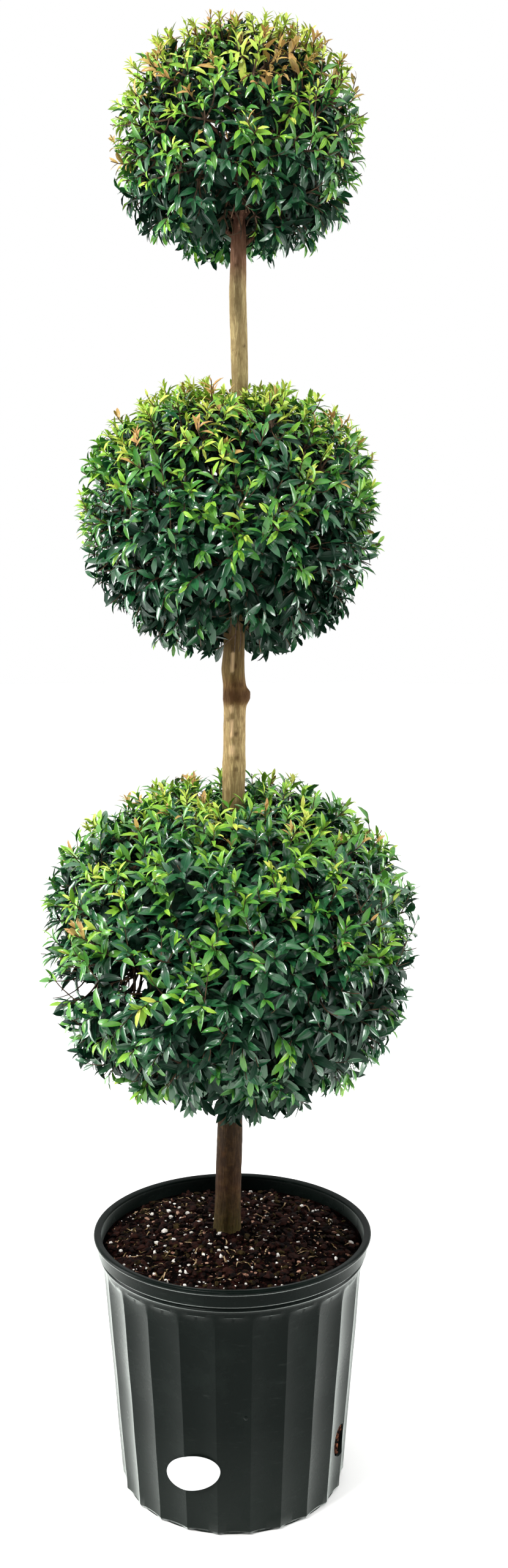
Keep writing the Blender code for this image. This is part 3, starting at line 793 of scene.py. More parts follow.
def make_bark():
    """Bark whose colour goes by height, with painted shade under and in the leaf balls, dark crevices,
    reddish plates, dark scars and bare wood.
    """
    material, tree, shader, place = new_material("stem_bark", 0.78, 0.12)
    low, high = BARK_AND_SHADE_BY_HEIGHT[0][0], BARK_AND_SHADE_BY_HEIGHT[-1][0]
    ramp = tree.nodes.new("ShaderNodeValToRGB")
    stops = ramp.color_ramp.elements
    stops.remove(stops[1])
    stops[0].color = BARK_AND_SHADE_BY_HEIGHT[0][1]
    for height, colour in BARK_AND_SHADE_BY_HEIGHT[1:]:
        stops.new((height - low) / (high - low)).color = colour
    tree.links.new(between(tree, axes(tree, place)["Z"], 0.0, 1.0, low, high), ramp.inputs["Fac"])
    streaks = blotches(tree, stretched(tree, place, (1.0, 1.0, 0.16)), 420.0, 0.42, 0.62)
    plates = blotches(tree, place, 130.0, 0.48, 0.66)
    crevices = between(tree, streaks, 0.62, 0.0)
    darker = blended(tree, crevices, ramp.outputs["Color"], BARK_CREVICE, "MULTIPLY")
    reddish = blended(tree, between(tree, plates, 0.0, 0.35), darker, BARK_PLATE)
    marked = blended(tree, attribute_mask(tree, "scar", 0.80), reddish, BARK_SCAR)
    healed = blended(tree, attribute_mask(tree, "wound", 0.80), marked, BARE_WOOD)
    tree.links.new(healed, shader.inputs["Base Color"])
    add_bump(tree, shader, streaks, 0.0006)
    return material


stem_bark = make_bark()
add_piece("stem_bark", finished_mesh("stem_bark", stem_shape()), stem_bark, ["stem"], 60)

# Leaf balls: the crown is clipped to three balls. From the stem, limbs in thin bark rise into each ball and
# part into twigs, which end in shoots with small leathery leaves in opposite pairs. Older leaves are a deep
# glossy green, and the newest shoots are yellow-green or bronze.

# Sizes of the balls in metres. Hollows are clipped deeper round a direction: depth as a share of the reach
# and spread in degrees. Gaps are straight openings through a place, along a way, of a radius. Fresh says how
# new the growth is, and the rise how much newer and paler it gets towards the top: partly real new growth,
# partly painted light from above and painted shade below. Bronze is the share of shoots whose newest leaves
# are bronze, and bronze_patch what is added to it round bronze_way. In front of the stem the leaves part
# below open_z, which rises by open_slope towards the back.
BALLS = {
    "top": {
        "middle": (0.0074, 0.0, 1.2325),
        "half_width": 0.113,
        "rise": 0.097,
        "drop": 0.112,
        "upper_fullness": 2.1,
        "lower_fullness": 2.6,
        "boughs": 3,
        "bough_z": 1.137,
        "bough_radius": 0.0018,
        "seed": 11,
        "limbs": 16,
        "shoots": 440,
        "leaf": 0.0205,
        "open_z": 1.172,
        "open_slope": 0.21,
        "hollows": [((0.0, 0.0, -1.0), 0.17, 34)],
        "gaps": [],
        "fresh": 0.54,
        "fresh_and_light_rise": 0.72,
        "bronze": 0.26,
        "bronze_patch": 0.45,
        "bronze_way": (0.30, -0.83, 0.46),
    },
    "middle": {
        "middle": (-0.0005, 0.0, 0.9165),
        "half_width": 0.139,
        "rise": 0.120,
        "drop": 0.137,
        "upper_fullness": 2.1,
        "lower_fullness": 2.1,
        "boughs": 4,
        "bough_z": 0.806,
        "bough_radius": 0.0027,
        "seed": 12,
        "limbs": 20,
        "shoots": 630,
        "leaf": 0.0225,
        "open_z": 0.808,
        "open_slope": -0.05,
        "hollows": [
            ((0.0, 0.0, -1.0), 0.03, 34),
            ((0.0, 0.0, 1.0), 0.12, 14),
            ((0.0, -0.25, 0.97), 0.16, 9),
        ],
        "gaps": [],
        "fresh": 0.31,
        "fresh_and_light_rise": 0.58,
        "bronze": 0.18,
        "bronze_patch": 0.10,
        "bronze_way": (-0.05, -0.75, 0.66),
    },
    "bottom": {
        "middle": (-0.0018, 0.0, 0.5356),
        "half_width": 0.177,
        "rise": 0.150,
        "drop": 0.176,
        "upper_fullness": 2.1,
        "lower_fullness": 2.2,
        "boughs": 4,
        "bough_z": 0.402,
        "bough_radius": 0.0034,
        "seed": 13,
        "limbs": 26,
        "shoots": 900,
        "leaf": 0.0250,
        "open_z": 0.0,
        "open_slope": 0.0,
        "hollows": [
            ((0.0, 0.0, -1.0), 0.06, 34),
            ((0.0, 0.0, 1.0), 0.14, 14),
            ((0.0, -0.30, 0.95), 0.30, 10),
            ((-0.34, -0.15, -0.93), 0.14, 17),
        ],
        "gaps": [
            ((-0.091, 0.0, 0.486), (-0.077, 0.970, -0.274), 0.0105),
            ((-0.137, 0.0, 0.480), (-0.110, 0.969, -0.278), 0.0085),
            ((-0.155, 0.0, 0.479), (-0.123, 0.969, -0.279), 0.0090),
        ],
        "fresh": 0.22,
        "fresh_and_light_rise": 0.40,
        "bronze": 0.14,
        "bronze_patch": 0.0,
        "bronze_way": (-0.12, -0.80, 0.58),
    },
}
GOLDEN_ANGLE = math.pi * (3 - math.sqrt(5))
BOUGH_SLOPE = math.tan(math.radians(38))
BOUGH_BEND = 2.5
BOUGH_TURN = math.radians(20)
BOUGH_STEP_Z = 0.007
BOUGH_SPAN = 0.62
# Radii at the foot and the tip: of boughs and limbs as shares of the ball's bough_radius, the rest in metres
BOUGH_TAPER = (1.25, 0.62)
LIMB_TAPER = (1.0, 0.5)
BRANCH_RADII = (0.0013, 0.0009)
SHOOT_RADII = (0.0010, 0.0004)
SIDE_SHOOT_RADII = (0.0007, 0.0003)
UP = np.array([0.0, 0.0, 1.0])
# Where wood ends, as shares of the way from a ball's middle to its outline
HUB_SHARE = 0.50
FORK_SHARE = 0.72
INNER_ENDS = (0.62, 0.82)
SHOOT_ENDS = (0.835, 0.91)
LEADER_ENDS = (0.935, 0.985)
LOOSE_REACH = 1.02
# Shoots inside the ball for each one at its outline, and the odds that one of those is a leader
INNER_SHARE = 0.85
LEADER_ODDS = 0.42
SIDE_SHOOT_ODDS = 0.9
SIDE_SHOOT_LENGTHS = (0.018, 0.032)
SIDE_SHOOT_LEAF = 0.0225
UPSWEEP = 0.55
UPSWEEP_LEVEL = 0.35
LEADER_UPSWEEP = 0.35
LEAF_LIFT = 0.75
# Newness runs from under 0 for ripe wood to 1 for the newest flush
RIPE = -0.5
LEADER_NEWNESS = 0.14
SHOOT_NEWNESS = -0.09
KIND_LIMITS = (-0.10, 0.16, 0.36, 0.54)
BRONZE_FROM = 0.46
BRONZE_PATCH_COSINE = 0.95
STEM_CLEARANCE = 0.003
PARTING_HALF_WIDTH = 0.014
OUTLINE_MARGIN = 0.0003
LEAF_FOLDS = (0.25, 0.65)
LEAF_CURLS = (0.30, 1.20)
# Leaf pairs from the tip of a shoot inwards, on ripe wood and on a new flush: the gap to the pair before
# (metres), the splay from the twig (degrees), the length (share of a full leaf) and the half width (share
# of the length)
RIPE_PAIRS = (
    (0.0010, 26, 0.62, 0.165),
    (0.0055, 42, 0.86, 0.175),
    (0.0065, 54, 1.00, 0.180),
    (0.0075, 60, 1.05, 0.185),
    (0.0080, 66, 1.00, 0.185),
    (0.0085, 70, 0.96, 0.180),
    (0.0085, 74, 0.90, 0.180),
)
NEW_PAIRS = (
    (0.0006, 12, 0.38, 0.130),
    (0.0030, 24, 0.52, 0.140),
    (0.0036, 36, 0.62, 0.145),
    (0.0045, 46, 0.72, 0.155),
    (0.0060, 56, 0.88, 0.170),
    (0.0075, 66, 1.00, 0.180),
    (0.0085, 72, 0.95, 0.180),
)


def unit(vectors):
    """Vectors brought to a length of 1."""
    return vectors / np.maximum(np.linalg.norm(vectors, axis=-1, keepdims=True), 1e-9)


def ball_reach(ball, ways):
    """How far the clipped outline lies from the ball's middle, along unit directions."""
    across = np.hypot(ways[..., 0], ways[..., 1]) / ball["half_width"]
    along = np.abs(ways[..., 2]) / np.where(ways[..., 2] > 0, ball["rise"], ball["drop"])
    fullness = np.where(ways[..., 2] > 0, ball["upper_fullness"], ball["lower_fullness"])
    return (across**fullness + along**fullness) ** (-1 / fullness)


def hollowed_reach(ball, ways):
    """The same, with the ball's hollows."""
    left = np.ones(ways.shape[:-1])
    for way, depth, spread in ball["hollows"]:
        away = np.degrees(np.arccos(np.clip(ways @ unit(np.array(way)), -1, 1)))
        left -= depth * np.exp(-((away / spread) ** 2))
    return ball_reach(ball, ways) * left


def in_gaps(ball, spots):
    """Whether spots lie in one of the ball's gaps."""
    caught = np.zeros(len(spots), bool)
    for place, way, radius in ball["gaps"]:
        caught |= np.linalg.norm(np.cross(spots - place, unit(np.array(way))), axis=1) < radius
    return caught


def spiral_ways(count):
    """Directions spread evenly over a ball."""
    turn = np.arange(count) * GOLDEN_ANGLE
    height = 1 - 2 * (np.arange(count) + 0.5) / count
    level = np.sqrt(1 - height**2)
    return np.stack([level * np.cos(turn), level * np.sin(turn), height], 1)


def bent_path(starts, ends, last_ways, bend, steps):
    """Curves from starts to ends that arrive along last_ways, as arrays of points."""
    spans = np.linalg.norm(ends - starts, axis=1, keepdims=True)
    middles = ends - last_ways * spans * bend
    share = np.linspace(0, 1, steps)[None, :, None]
    starts, middles, ends = starts[:, None], middles[:, None], ends[:, None]
    return starts * (1 - share) ** 2 + 2 * middles * share * (1 - share) + ends * share**2


def square_to(ways, guided, steep):
    """Two directions square to ways: sideways and up, or by another guide where the guided way is steep."""
    guide = np.where(np.abs(guided[..., 2:]) > steep, np.array([1.0, 0.2, 0.0]), UP)
    side = unit(np.cross(ways, guide))
    return side, np.cross(side, ways)


def tubes(paths, foot_radius, tip_radius, sides):
    """Points and triangles of a closed round tube along each path, tapered from foot to tip."""
    count, steps = paths.shape[:2]
    along = unit(np.gradient(paths, axis=1))
    side, rise = square_to(along, unit(paths[:, -1:] - paths[:, :1]), 0.8)
    turn = np.arange(sides) / sides * math.tau
    ring = np.cos(turn)[:, None] * side[:, :, None] + np.sin(turn)[:, None] * rise[:, :, None]
    points = paths[:, :, None] + ring * np.linspace(foot_radius, tip_radius, steps)[:, None, None]
    first = np.arange(count)[:, None, None] * steps * sides
    low = first + np.arange(steps - 1)[:, None] * sides + np.arange(sides)
    beside = first + np.arange(steps - 1)[:, None] * sides + (np.arange(sides) + 1) % sides
    walls = np.stack([low, beside, beside + sides, low, beside + sides, low + sides], -1)
    fan = np.array([[0, corner + 1, corner] for corner in range(1, sides - 1)])
    feet = first + fan
    tips = first + (steps - 1) * sides + fan[:, ::-1]
    faces = [walls.reshape(-1, 3), feet.reshape(-1, 3), tips.reshape(-1, 3)]
    return points.reshape(-1, 3), np.concatenate(faces)


def joined_tubes(name, groups):
    """One mesh of several groups of tubes, each with its paths, radii at foot and tip, and sides."""
    points, triangles, total = [], [], 0
    for group in groups:
        group_points, group_triangles = tubes(*group)
        points.append(group_points)
        triangles.append(group_triangles + total)
        total += len(group_points)
    return joined_mesh(name, np.concatenate(points), np.concatenate(triangles))


def bough_paths(ball):
    """The boughs that show under a ball, which bend upwards into it."""
    paths = []
    for number in range(ball["boughs"]):
        azimuth = BOUGH_TURN + number * math.tau / ball["boughs"] + 0.35 * math.sin(7 * number)
        foot_z = ball["bough_z"] + BOUGH_STEP_Z * number
        foot = np.array([float(stem_at(foot_z)[0]), 0.0, foot_z])
        out = np.array([math.cos(azimuth), math.sin(azimuth), 0.0])
        run = np.linspace(0, BOUGH_SPAN * ball["half_width"], 14)[:, None]
        paths.append(foot + out * run + UP * BOUGH_SLOPE * run * (1 + BOUGH_BEND * run))
    return np.array(paths)


def limb_paths(ball):
    """Limbs hidden in a ball: each leaves the stem and rises to a hub half way to the outline."""
    chance = np.random.default_rng(ball["seed"])
    middle = np.array(ball["middle"])
    ways = spiral_ways(ball["limbs"])
    hubs = middle + ways * hollowed_reach(ball, ways)[:, None] * HUB_SHARE
    hubs += chance.normal(0, 0.006, hubs.shape)
    level = np.linalg.norm(hubs[:, :2] - middle[:2], axis=1)
    feet_z = np.clip(hubs[:, 2] - level * 0.9, ball["bough_z"] + 0.004, middle[2] + 0.30 * ball["rise"])
    leans = stem_at(feet_z)[0]
    feet = np.stack([leans, np.zeros_like(leans), feet_z], 1)
    out = unit((hubs - middle) * (1, 1, 0) + 1e-6)
    return bent_path(feet, hubs, unit(out + UP * 0.7), 0.45, 9)


def nearest(spots, places):
    """For each spot, the index of the closest place."""
    gaps = np.linalg.norm(spots[:, None] - places[None], axis=2)
    return gaps.argmin(1)


def new_growth(ball, ways, chance):
    """0 for shoots that have ripened and 1 for the newest: more towards the top, partly as painted light
    from above, and in loose drifts.
    """
    drift = np.array([noise.noise(Vector(way * 2.6) + Vector((ball["seed"], 0, 0))) for way in ways])
    # Painted light: this rise also makes upper leaves paler and lower leaves darker, as light falls from
    # above
    lift = ball["fresh_and_light_rise"] * ways[:, 2]
    in_patch = ways @ unit(np.array(ball["bronze_way"])) > BRONZE_PATCH_COSINE
    flush = 0.8 * ball["bronze_patch"] * in_patch
    return ball["fresh"] + lift + flush + 0.44 * drift + chance.normal(0, 0.12, len(ways))


def along_paths(paths, places):
    """Points on the paths at those distances from their feet, and the twig's direction there."""
    runs = np.linalg.norm(np.diff(paths, axis=1), axis=2)
    ends = np.concatenate([np.zeros((len(paths), 1)), runs.cumsum(1)], 1)
    step = np.clip((ends <= places[:, None]).sum(1) - 1, 0, paths.shape[1] - 2)
    rows = np.arange(len(paths))
    foot, head = paths[rows, step], paths[rows, step + 1]
    share = (places - ends[rows, step]) / runs[rows, step]
    return foot + (head - foot) * share[:, None], unit(head - foot)


def leaves_on(paths, newness, leaf, droop, pairs, chance):
    """Opposite leaf pairs from the tips of the paths inwards, each pair turned a quarter from the last.

    Gives the feet, directions, twig directions, lengths, half widths, path numbers and pair numbers.
    """
    count = len(paths)
    ripe_pairs, new_pairs = np.array(RIPE_PAIRS), np.array(NEW_PAIRS)
    flush = np.clip(newness * 1.6 - 0.25, 0, 1)
    length = np.linalg.norm(np.diff(paths, axis=1), axis=2).sum(1)
    turn = chance.uniform(0, math.tau, count)
    back = np.zeros(count)
    made = []
    for pair in pairs:
        newer = new_pairs[pair] - ripe_pairs[pair]
        gap, splay, size, width = (ripe_pairs[pair] + newer * flush[:, None]).T
        back = back + gap * chance.uniform(0.8, 1.2, count)
        spot, twig = along_paths(paths, np.maximum(length - back, 0))
        side, rise = square_to(twig, twig, 0.85)
        index = np.nonzero(back < 0.85 * length)[0]
        for flip in (0, math.pi):
            azimuth = turn + pair * math.pi / 2 + flip + chance.normal(0, 0.25, count)
            across = side * np.cos(azimuth)[:, None] + rise * np.sin(azimuth)[:, None]
            spread = np.radians(splay) * chance.uniform(0.75, 1.25, count)
            way = twig * np.cos(spread)[:, None] + across * np.sin(spread)[:, None]
            way = unit(way - UP * (droop * spread * chance.uniform(0.3, 1.0, count))[:, None])
            lengths = leaf * size * chance.uniform(0.76, 1.14, count)
            halves = lengths * width * chance.uniform(0.88, 1.14, count)
            columns = (spot, way, twig, lengths, halves, np.arange(count), np.full(count, pair))
            made.append([column[index] for column in columns])
    return [np.concatenate(column) for column in zip(*made)]


# Across (half widths) and along (lengths) of a leaf's points: foot, three rows and the pointed tip
LEAF_ROWS = ((0.0, 0.0), (0.62, 0.20), (1.0, 0.50), (0.66, 0.80), (0.0, 1.0))


def leaf_mesh(name, feet, ways, faces_to, lengths, halves, folds, curls):
    """Pointed oval blades, folded along the midrib and curled to the tip, with UVs across and along."""
    normals = unit(faces_to - ways * (faces_to * ways).sum(1, keepdims=True))
    sides = np.cross(ways, normals)
    spots, flat = [], []
    for half, along in LEAF_ROWS:
        bow = curls * along
        rib = feet + ways * (lengths * np.sin(bow) / curls)[:, None]
        rib -= normals * (lengths * (1 - np.cos(bow)) / curls)[:, None]
        if half == 0.0:
            spots.append(rib)
            flat.append((0.5, along))
            continue
        reach = (halves * half)[:, None]
        lift = normals * reach * np.sin(folds)[:, None]
        for edge in (-1, 0, 1):
            spots.append(rib + edge * sides * reach * np.cos(folds)[:, None] + abs(edge) * lift)
            flat.append((0.5 + 0.5 * edge * half, along))
    points = np.stack(spots, 1)
    one = [(0, 2, 1), (0, 3, 2)]
    for row in (1, 4):
        for column in (0, 1):
            a = row + column
            one += [(a, a + 1, a + 4), (a, a + 4, a + 3)]
    one += [(7, 8, 10), (8, 9, 10)]
    one = np.array(one)
    triangles = one[None] + np.arange(len(feet))[:, None, None] * points.shape[1]
    mesh = joined_mesh(name, points, triangles)
    layer = mesh.uv_layers.new(name="across_and_along")
    corners = np.array(flat, np.float32)[np.tile(one.ravel(), len(feet))]
    layer.data.foreach_set("uv", corners.ravel())
    return mesh


def reckoned(tree, operation, *values):
    """One sum on sockets or plain numbers."""
    step = tree.nodes.new("ShaderNodeMath")
    step.operation = operation
    for socket, value in zip(step.inputs, values):
        if isinstance(value, float):
            socket.default_value = value
        else:
            tree.links.new(value, socket)
    return step.outputs["Value"]


def make_leaf_material(name, blade, rib, mottle, roughness, coat):
    """Waxy leaf: a slightly paler midrib, uneven tone from spray to spray, and a clear gloss."""
    material, tree, shader, place = new_material(name, roughness, 0.15 + 0.2 * coat)
    shader.inputs["Coat Weight"].default_value = coat
    shader.inputs["Coat Roughness"].default_value = 0.11
    flat = tree.nodes.new("ShaderNodeUVMap")
    flat.uv_map = "across_and_along"
    off_rib = reckoned(tree, "SUBTRACT", axes(tree, flat.outputs["UV"])["X"], 0.5)
    midrib = between(tree, reckoned(tree, "ABSOLUTE", off_rib), 0.5, 0.0, 0.0, 0.09)
    tone = blended(tree, blotches(tree, place, 60.0, 0.38, 0.62), blade, mottle)
    tree.links.new(blended(tree, midrib, tone, rib), shader.inputs["Base Color"])
    dull = between(tree, blotches(tree, place, 90.0, 0.35, 0.7), roughness - 0.05, roughness + 0.12)
    tree.links.new(dull, shader.inputs["Roughness"])
    add_bump(tree, shader, midrib, 0.0006, 0.6)
    return material


# Each kind of leaf, oldest first: colours of blade, rib and mottle, roughness and weight of the wax.
# The deep kind, on inner and oldest leaves, is near black: partly old leaves' own dark green and partly
# painted shade of the ball's inside.
LEAF_FINISHES = {
    "deep": ((0.0022, 0.020, 0.010, 1), (0.008, 0.042, 0.018, 1), (0.0045, 0.030, 0.013, 1), 0.40, 0.06),
    "dark": ((0.0076, 0.076, 0.029, 1), (0.024, 0.136, 0.046, 1), (0.019, 0.114, 0.034, 1), 0.33, 0.90),
    "green": ((0.044, 0.210, 0.030, 1), (0.100, 0.280, 0.056, 1), (0.090, 0.260, 0.024, 1), 0.36, 0.60),
    "lime": ((0.170, 0.410, 0.034, 1), (0.260, 0.480, 0.068, 1), (0.250, 0.450, 0.040, 1), 0.38, 0.30),
    "fresh": ((0.370, 0.570, 0.075, 1), (0.470, 0.620, 0.130, 1), (0.500, 0.530, 0.085, 1), 0.42, 0.15),
    "bronze": ((0.420, 0.225, 0.080, 1), (0.500, 0.345, 0.110, 1), (0.440, 0.320, 0.090, 1), 0.42, 0.15),
}
LEAF_MATERIALS = {
    kind: make_leaf_material(f"leaf_{kind}", *finish) for kind, finish in LEAF_FINISHES.items()
}
LEAF_KINDS = list(LEAF_FINISHES)
TWIG_SHADE = (0.045, 0.026, 0.014, 1)
TWIG_BROWN = (0.11, 0.060, 0.030, 1)


def make_twig_material():
    material, tree, shader, place = new_material("twig_bark", 0.7, 0.3)
    patch = blotches(tree, place, 120.0, 0.40, 0.62)
    tree.links.new(blended(tree, patch, TWIG_SHADE, TWIG_BROWN), shader.inputs["Base Color"])
    grain = blotches(tree, stretched(tree, place, (1.0, 1.0, 0.3)), 700.0, 0.3, 0.7)
    add_bump(tree, shader, grain, 0.0004)
    return material


twig_bark = make_twig_material()


def main_shoots(ball, forks, chance):
    """Shoots that run from the forks to the outline, some of them leaders, and others that end inside."""
    middle = np.array(ball["middle"])
    outer_ways = unit(spiral_ways(ball["shoots"]) + chance.normal(0, 0.035, (ball["shoots"], 3)))
    inner_count = int(ball["shoots"] * INNER_SHARE)
    inner_ways = unit(spiral_ways(inner_count) + chance.normal(0, 0.06, (inner_count, 3)))
    ways = np.concatenate([outer_ways, inner_ways])
    count = len(ways)
    inner = np.arange(count) >= ball["shoots"]
    leader = ~inner & (chance.random(count) < LEADER_ODDS)
    share = np.where(leader, chance.uniform(*LEADER_ENDS, count), chance.uniform(*SHOOT_ENDS, count))
    share = np.where(inner, chance.uniform(*INNER_ENDS, count), share)
    tips = middle + ways * (hollowed_reach(ball, ways) * share)[:, None]
    sweep = UPSWEEP * chance.uniform(0.4, 1.0, count) * np.clip(ways[:, 2] + UPSWEEP_LEVEL, -0.4, 1)
    sweep += LEADER_UPSWEEP * leader * (ways[:, 2] > -0.3)
    last = unit(ways + UP * sweep[:, None] + chance.normal(0, 0.15, ways.shape))
    paths = bent_path(forks[nearest(tips, forks)], tips, last, 0.5, 7)
    newness = new_growth(ball, ways, chance) + np.where(leader, LEADER_NEWNESS, SHOOT_NEWNESS)
    # Shoots inside the ball bear only the oldest, near-black leaves: their own dark green plus painted shade
    # of the ball's inside
    newness = np.where(inner, RIPE, newness)
    return {"paths": paths, "ways": ways, "last": last, "inner": inner, "share": share, "newness": newness}


def side_shoots(ball, shoots, chance):
    """Short shoots that leave the outer ones, how new each is, and the number of the one that bears it."""
    feet, tips, bearers = [], [], []
    for step in (3, 4):
        bears = ~shoots["inner"] & (chance.random(len(shoots["ways"])) < SIDE_SHOOT_ODDS)
        bearing = np.nonzero(bears)[0]
        last = shoots["last"][bearing]
        heading = unit(np.cross(last, chance.normal(0, 1, (len(bearing), 3))))
        way = unit(last + heading * 0.9 + UP * 0.25)
        reach = chance.uniform(*SIDE_SHOOT_LENGTHS, len(bearing)) * (ball["leaf"] / SIDE_SHOOT_LEAF)
        foot = shoots["paths"][bearing, step]
        feet.append(foot)
        tips.append(foot + way * reach[:, None])
        bearers.append(bearing)
    feet, tips, bearers = np.concatenate(feet), np.concatenate(tips), np.concatenate(bearers)
    off = tips - np.array(ball["middle"])
    furthest = (shoots["share"][bearers] + 0.005) * hollowed_reach(ball, unit(off))
    inside = np.linalg.norm(off, axis=1) < furthest
    feet, tips, bearers = feet[inside], tips[inside], bearers[inside]
    paths = bent_path(feet, tips, unit(tips - feet + UP * 0.008), 0.4, 5)
    newness = shoots["newness"][bearers] + chance.normal(-0.06, 0.08, len(bearers))
    return paths, newness, bearers


def kept_leaves(ball, feet, middles, ends):
    """Which leaves lie inside the outline, clear of the stem, the parting before it and the gaps."""
    off = ends - np.array(ball["middle"])
    kept = np.linalg.norm(off, axis=1) < LOOSE_REACH * ball_reach(ball, unit(off))
    kept &= np.hypot(off[:, 0], off[:, 1]) < ball["half_width"] - OUTLINE_MARGIN
    kept &= (off[:, 2] < ball["rise"] - OUTLINE_MARGIN) & (off[:, 2] > -ball["drop"])
    for spots in (middles, ends):
        leans, radii = stem_at(spots[:, 2])
        kept &= np.hypot(spots[:, 0] - leans, spots[:, 1]) > radii + STEM_CLEARANCE
        above = spots[:, 2] > ball["open_z"] + ball["open_slope"] * spots[:, 1]
        kept &= (spots[:, 1] > 0) | above | (np.abs(spots[:, 0] - leans) > PARTING_HALF_WIDTH)
    for spots in (feet, middles, ends):
        kept &= ~in_gaps(ball, spots)
    return kept


def leaf_kinds(ball, outward, newness, pair, dice, chance):
    """Numbers of the kinds of leaves: the newer the growth and the nearer its tip, the paler."""
    tone = newness - 0.12 * pair + chance.normal(0, 0.07, len(newness))
    in_patch = (unit(np.array(ball["bronze_way"])) * outward).sum(1) > BRONZE_PATCH_COSINE
    bronze_odds = ball["bronze"] + ball["bronze_patch"] * in_patch
    bronze = (dice < bronze_odds) & (tone > BRONZE_FROM)
    return np.where(bronze, LEAF_KINDS.index("bronze"), np.digitize(tone, KIND_LIMITS))


def grow_ball(label, ball):
    """Limbs, twigs and leaves of one ball, by the same rule from the stem out to the clipped outline."""
    chance = np.random.default_rng(ball["seed"] + 20)
    middle = np.array(ball["middle"])
    boughs, limbs = bough_paths(ball), limb_paths(ball)
    hubs = np.concatenate([boughs[:, -1], limbs[:, -1]])
    fork_ways = spiral_ways(ball["shoots"] // 3)
    forks = middle + fork_ways * hollowed_reach(ball, fork_ways)[:, None] * FORK_SHARE
    forks += chance.normal(0, 0.005, forks.shape)
    branches = bent_path(hubs[nearest(forks, hubs)], forks, unit(fork_ways + UP * 0.25), 0.4, 6)
    shoots = main_shoots(ball, forks, chance)
    sides, side_new, bearers = side_shoots(ball, shoots, chance)

    droop = np.clip(0.15 - 0.7 * shoots["ways"][:, 2], 0.0, 0.6)
    fork_droop = np.clip(0.15 - 0.7 * fork_ways[:, 2], 0.0, 0.6)
    # Leaves on the branches inside the ball are ripe as well, so near black with painted shade
    ripe = np.full(len(forks), RIPE)
    groups = [
        leaves_on(shoots["paths"], shoots["newness"], ball["leaf"], droop, range(7), chance),
        leaves_on(sides, side_new, ball["leaf"], droop[bearers], range(4), chance),
        leaves_on(branches, ripe, ball["leaf"], fork_droop, range(2, 7), chance),
    ]
    columns = [np.concatenate(column) for column in zip(*groups)]
    path_numbers = [group[5] for group in groups]
    dice = chance.random(len(droop))
    for values in ((shoots["newness"], side_new, ripe), (dice, dice[bearers], np.ones(len(ripe)))):
        columns.append(np.concatenate([own[numbers] for own, numbers in zip(values, path_numbers)]))

    feet, ways, lengths = columns[0], columns[1], columns[3][:, None]
    kept = kept_leaves(ball, feet, feet + ways * lengths * 0.6, feet + ways * lengths)
    feet, ways, twigs, lengths, halves, _, pair, newness, dice = (column[kept] for column in columns)
    outward = unit(feet - middle)
    faces_to = unit(twigs * 0.5 + outward * 0.5 + UP * LEAF_LIFT + chance.normal(0, 0.28, feet.shape))
    folds = chance.uniform(*LEAF_FOLDS, len(feet))
    curls = chance.uniform(*LEAF_CURLS, len(feet))
    kinds = leaf_kinds(ball, outward, newness, pair, dice, chance)

    bough_radii = np.array(BOUGH_TAPER) * ball["bough_radius"]
    limb_radii = np.array(LIMB_TAPER) * ball["bough_radius"]
    limb_groups = [(boughs, *bough_radii, 10), (limbs, *limb_radii, 7)]
    bough_names = [f"{label}_bough_{number + 1}" for number in range(ball["boughs"])]
    limbs_mesh = joined_tubes(f"{label}_limbs", limb_groups)
    add_piece(f"{label}_limbs", limbs_mesh, stem_bark, bough_names, 60)
    whole_shoots = shoots["paths"][~in_gaps(ball, shoots["paths"][:, -1])]
    whole_sides = sides[~in_gaps(ball, sides[:, -1])]
    twig_groups = [
        (branches, *BRANCH_RADII, 4),
        (whole_shoots, *SHOOT_RADII, 3),
        (whole_sides, *SIDE_SHOOT_RADII, 3),
    ]
    twigs_mesh = joined_tubes(f"{label}_twigs", twig_groups)
    add_piece(f"{label}_twigs", twigs_mesh, twig_bark, [f"{label}_ball"], 60)
    leaves = (feet, ways, faces_to, lengths, halves, folds, curls)
    for number, kind in enumerate(LEAF_KINDS):
        name = f"{label}_leaves_{kind}"
        mesh = leaf_mesh(name, *(column[kinds == number] for column in leaves))
        add_piece(name, mesh, LEAF_MATERIALS[kind], [f"{label}_ball"], 180)


for ball_label, ball_sizes in BALLS.items():
    grow_ball(ball_label, ball_sizes)

# Studio: a pale seamless floor in a white room. The light is bright from above and behind and softer from
# the front, with a key lamp at the upper left of the camera and a large soft lamp on either side.

FLOOR_RADIUS = 9.0
FLOOR_UNDER_POT = 0.0005
FLOOR_PALE = (0.86, 0.86, 0.85, 1.0)
FLOOR_PALER = (0.89, 0.89, 0.88, 1.0)
WHITE = (1.0, 1.0, 1.0)
# Lamps: place, point they face, width and height, watts and colour
LAMPS = {
    "key_lamp": ((-1.1, -1.3, 2.7), (0, 0, 0.75), (0.45, 0.45), 64.0, (1.0, 0.99, 0.96)),
    "left_lamp": ((-2.1, 0.2, 0.8), (0, 0, 0.4), (0.9, 1.6), 66.0, WHITE),
    "right_lamp": ((2.1, 0.2, 0.8), (0, 0, 0.4), (0.9, 1.6), 48.0, WHITE),
}


def make_floor_paint():
    material, tree, shader, place = new_material("pale_floor", 0.9, 0.2)
    patch = blotches(tree, place, 3.0, 0.3, 0.8)
    tree.links.new(blended(tree, patch, FLOOR_PALE, FLOOR_PALER), shader.inputs["Base Color"])
    return material


floor_shape = bmesh.new()
bmesh.ops.create_circle(floor_shape, cap_ends=True, segments=96, radius=FLOOR_RADIUS)
bmesh.ops.translate(floor_shape, verts=floor_shape.verts, vec=(0, 0, -FLOOR_UNDER_POT))
floor = bpy.data.objects.new("floor", finished_mesh("floor", floor_shape))
bpy.context.scene.collection.objects.link(floor)
floor.data.materials.append(make_floor_paint())


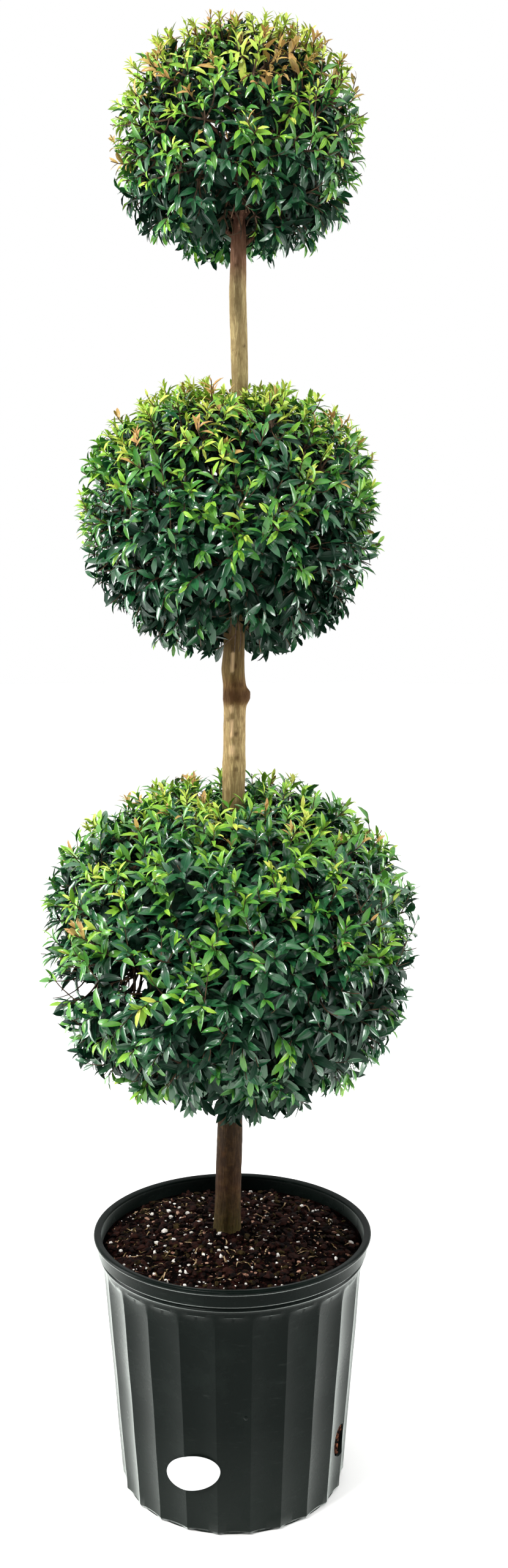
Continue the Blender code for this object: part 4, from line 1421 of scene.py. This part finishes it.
def make_room_light():
    """World light by direction: bright overhead, dim near the level and dimmest in front of the plant."""
    world = bpy.data.worlds.new("white_room")
    world.use_nodes = True
    tree = world.node_tree
    backdrop = tree.nodes["Background"]
    way = axes(tree, tree.nodes.new("ShaderNodeTexCoord").outputs["Generated"])
    from_behind = between(tree, way["Y"], 0.10, 0.55, -0.9, 0.6)
    from_above = between(tree, way["Z"], 0.0, 1.15, 0.20, 0.75)
    bright = tree.nodes.new("ShaderNodeMix")
    bright.data_type = "FLOAT"
    seen = tree.nodes.new("ShaderNodeLightPath").outputs["Is Camera Ray"]
    tree.links.new(seen, bright.inputs["Factor"])
    tree.links.new(reckoned(tree, "ADD", from_behind, from_above), bright.inputs["A"])
    bright.inputs["B"].default_value = 1.0
    tree.links.new(bright.outputs["Result"], backdrop.inputs["Strength"])
    backdrop.inputs["Color"].default_value = (*WHITE, 1.0)
    bpy.context.scene.world = world


def add_lamp(name, place, aim, size, power, colour):
    """A rectangular soft lamp of (width, height) that faces a point."""
    lamp = bpy.data.lights.new(name, "AREA")
    lamp.shape = "RECTANGLE"
    lamp.size, lamp.size_y = size
    lamp.energy = power
    lamp.color = colour
    holder = bpy.data.objects.new(name, lamp)
    holder.location = place
    holder.rotation_euler = (Vector(aim) - Vector(place)).to_track_quat("-Z", "Y").to_euler()
    bpy.context.scene.collection.objects.link(holder)


make_room_light()
for lamp_name, lamp_values in LAMPS.items():
    add_lamp(lamp_name, *lamp_values)
bpy.context.scene.view_settings.view_transform = "Standard"

# Camera: a little above the middle of the plant and close to it, looking slightly down, at the
# photograph's own viewing angle. It has no shift, and everything in its view is sharp.

PHOTO_HEIGHT = 2560
FOCAL_PIXELS = 2550
SENSOR = 36.0
CAMERA_PLACE = (0.0203, -1.400, 0.882)
CAMERA_DOWN = math.radians(8.563)

camera_data = bpy.data.cameras.new("camera")
camera_data.sensor_width = SENSOR
camera_data.lens = SENSOR * FOCAL_PIXELS / PHOTO_HEIGHT
camera = bpy.data.objects.new("camera", camera_data)
camera.location = CAMERA_PLACE
camera.rotation_euler = (math.pi / 2 - CAMERA_DOWN, 0.0, 0.0)
bpy.context.scene.collection.objects.link(camera)
bpy.context.scene.camera = camera
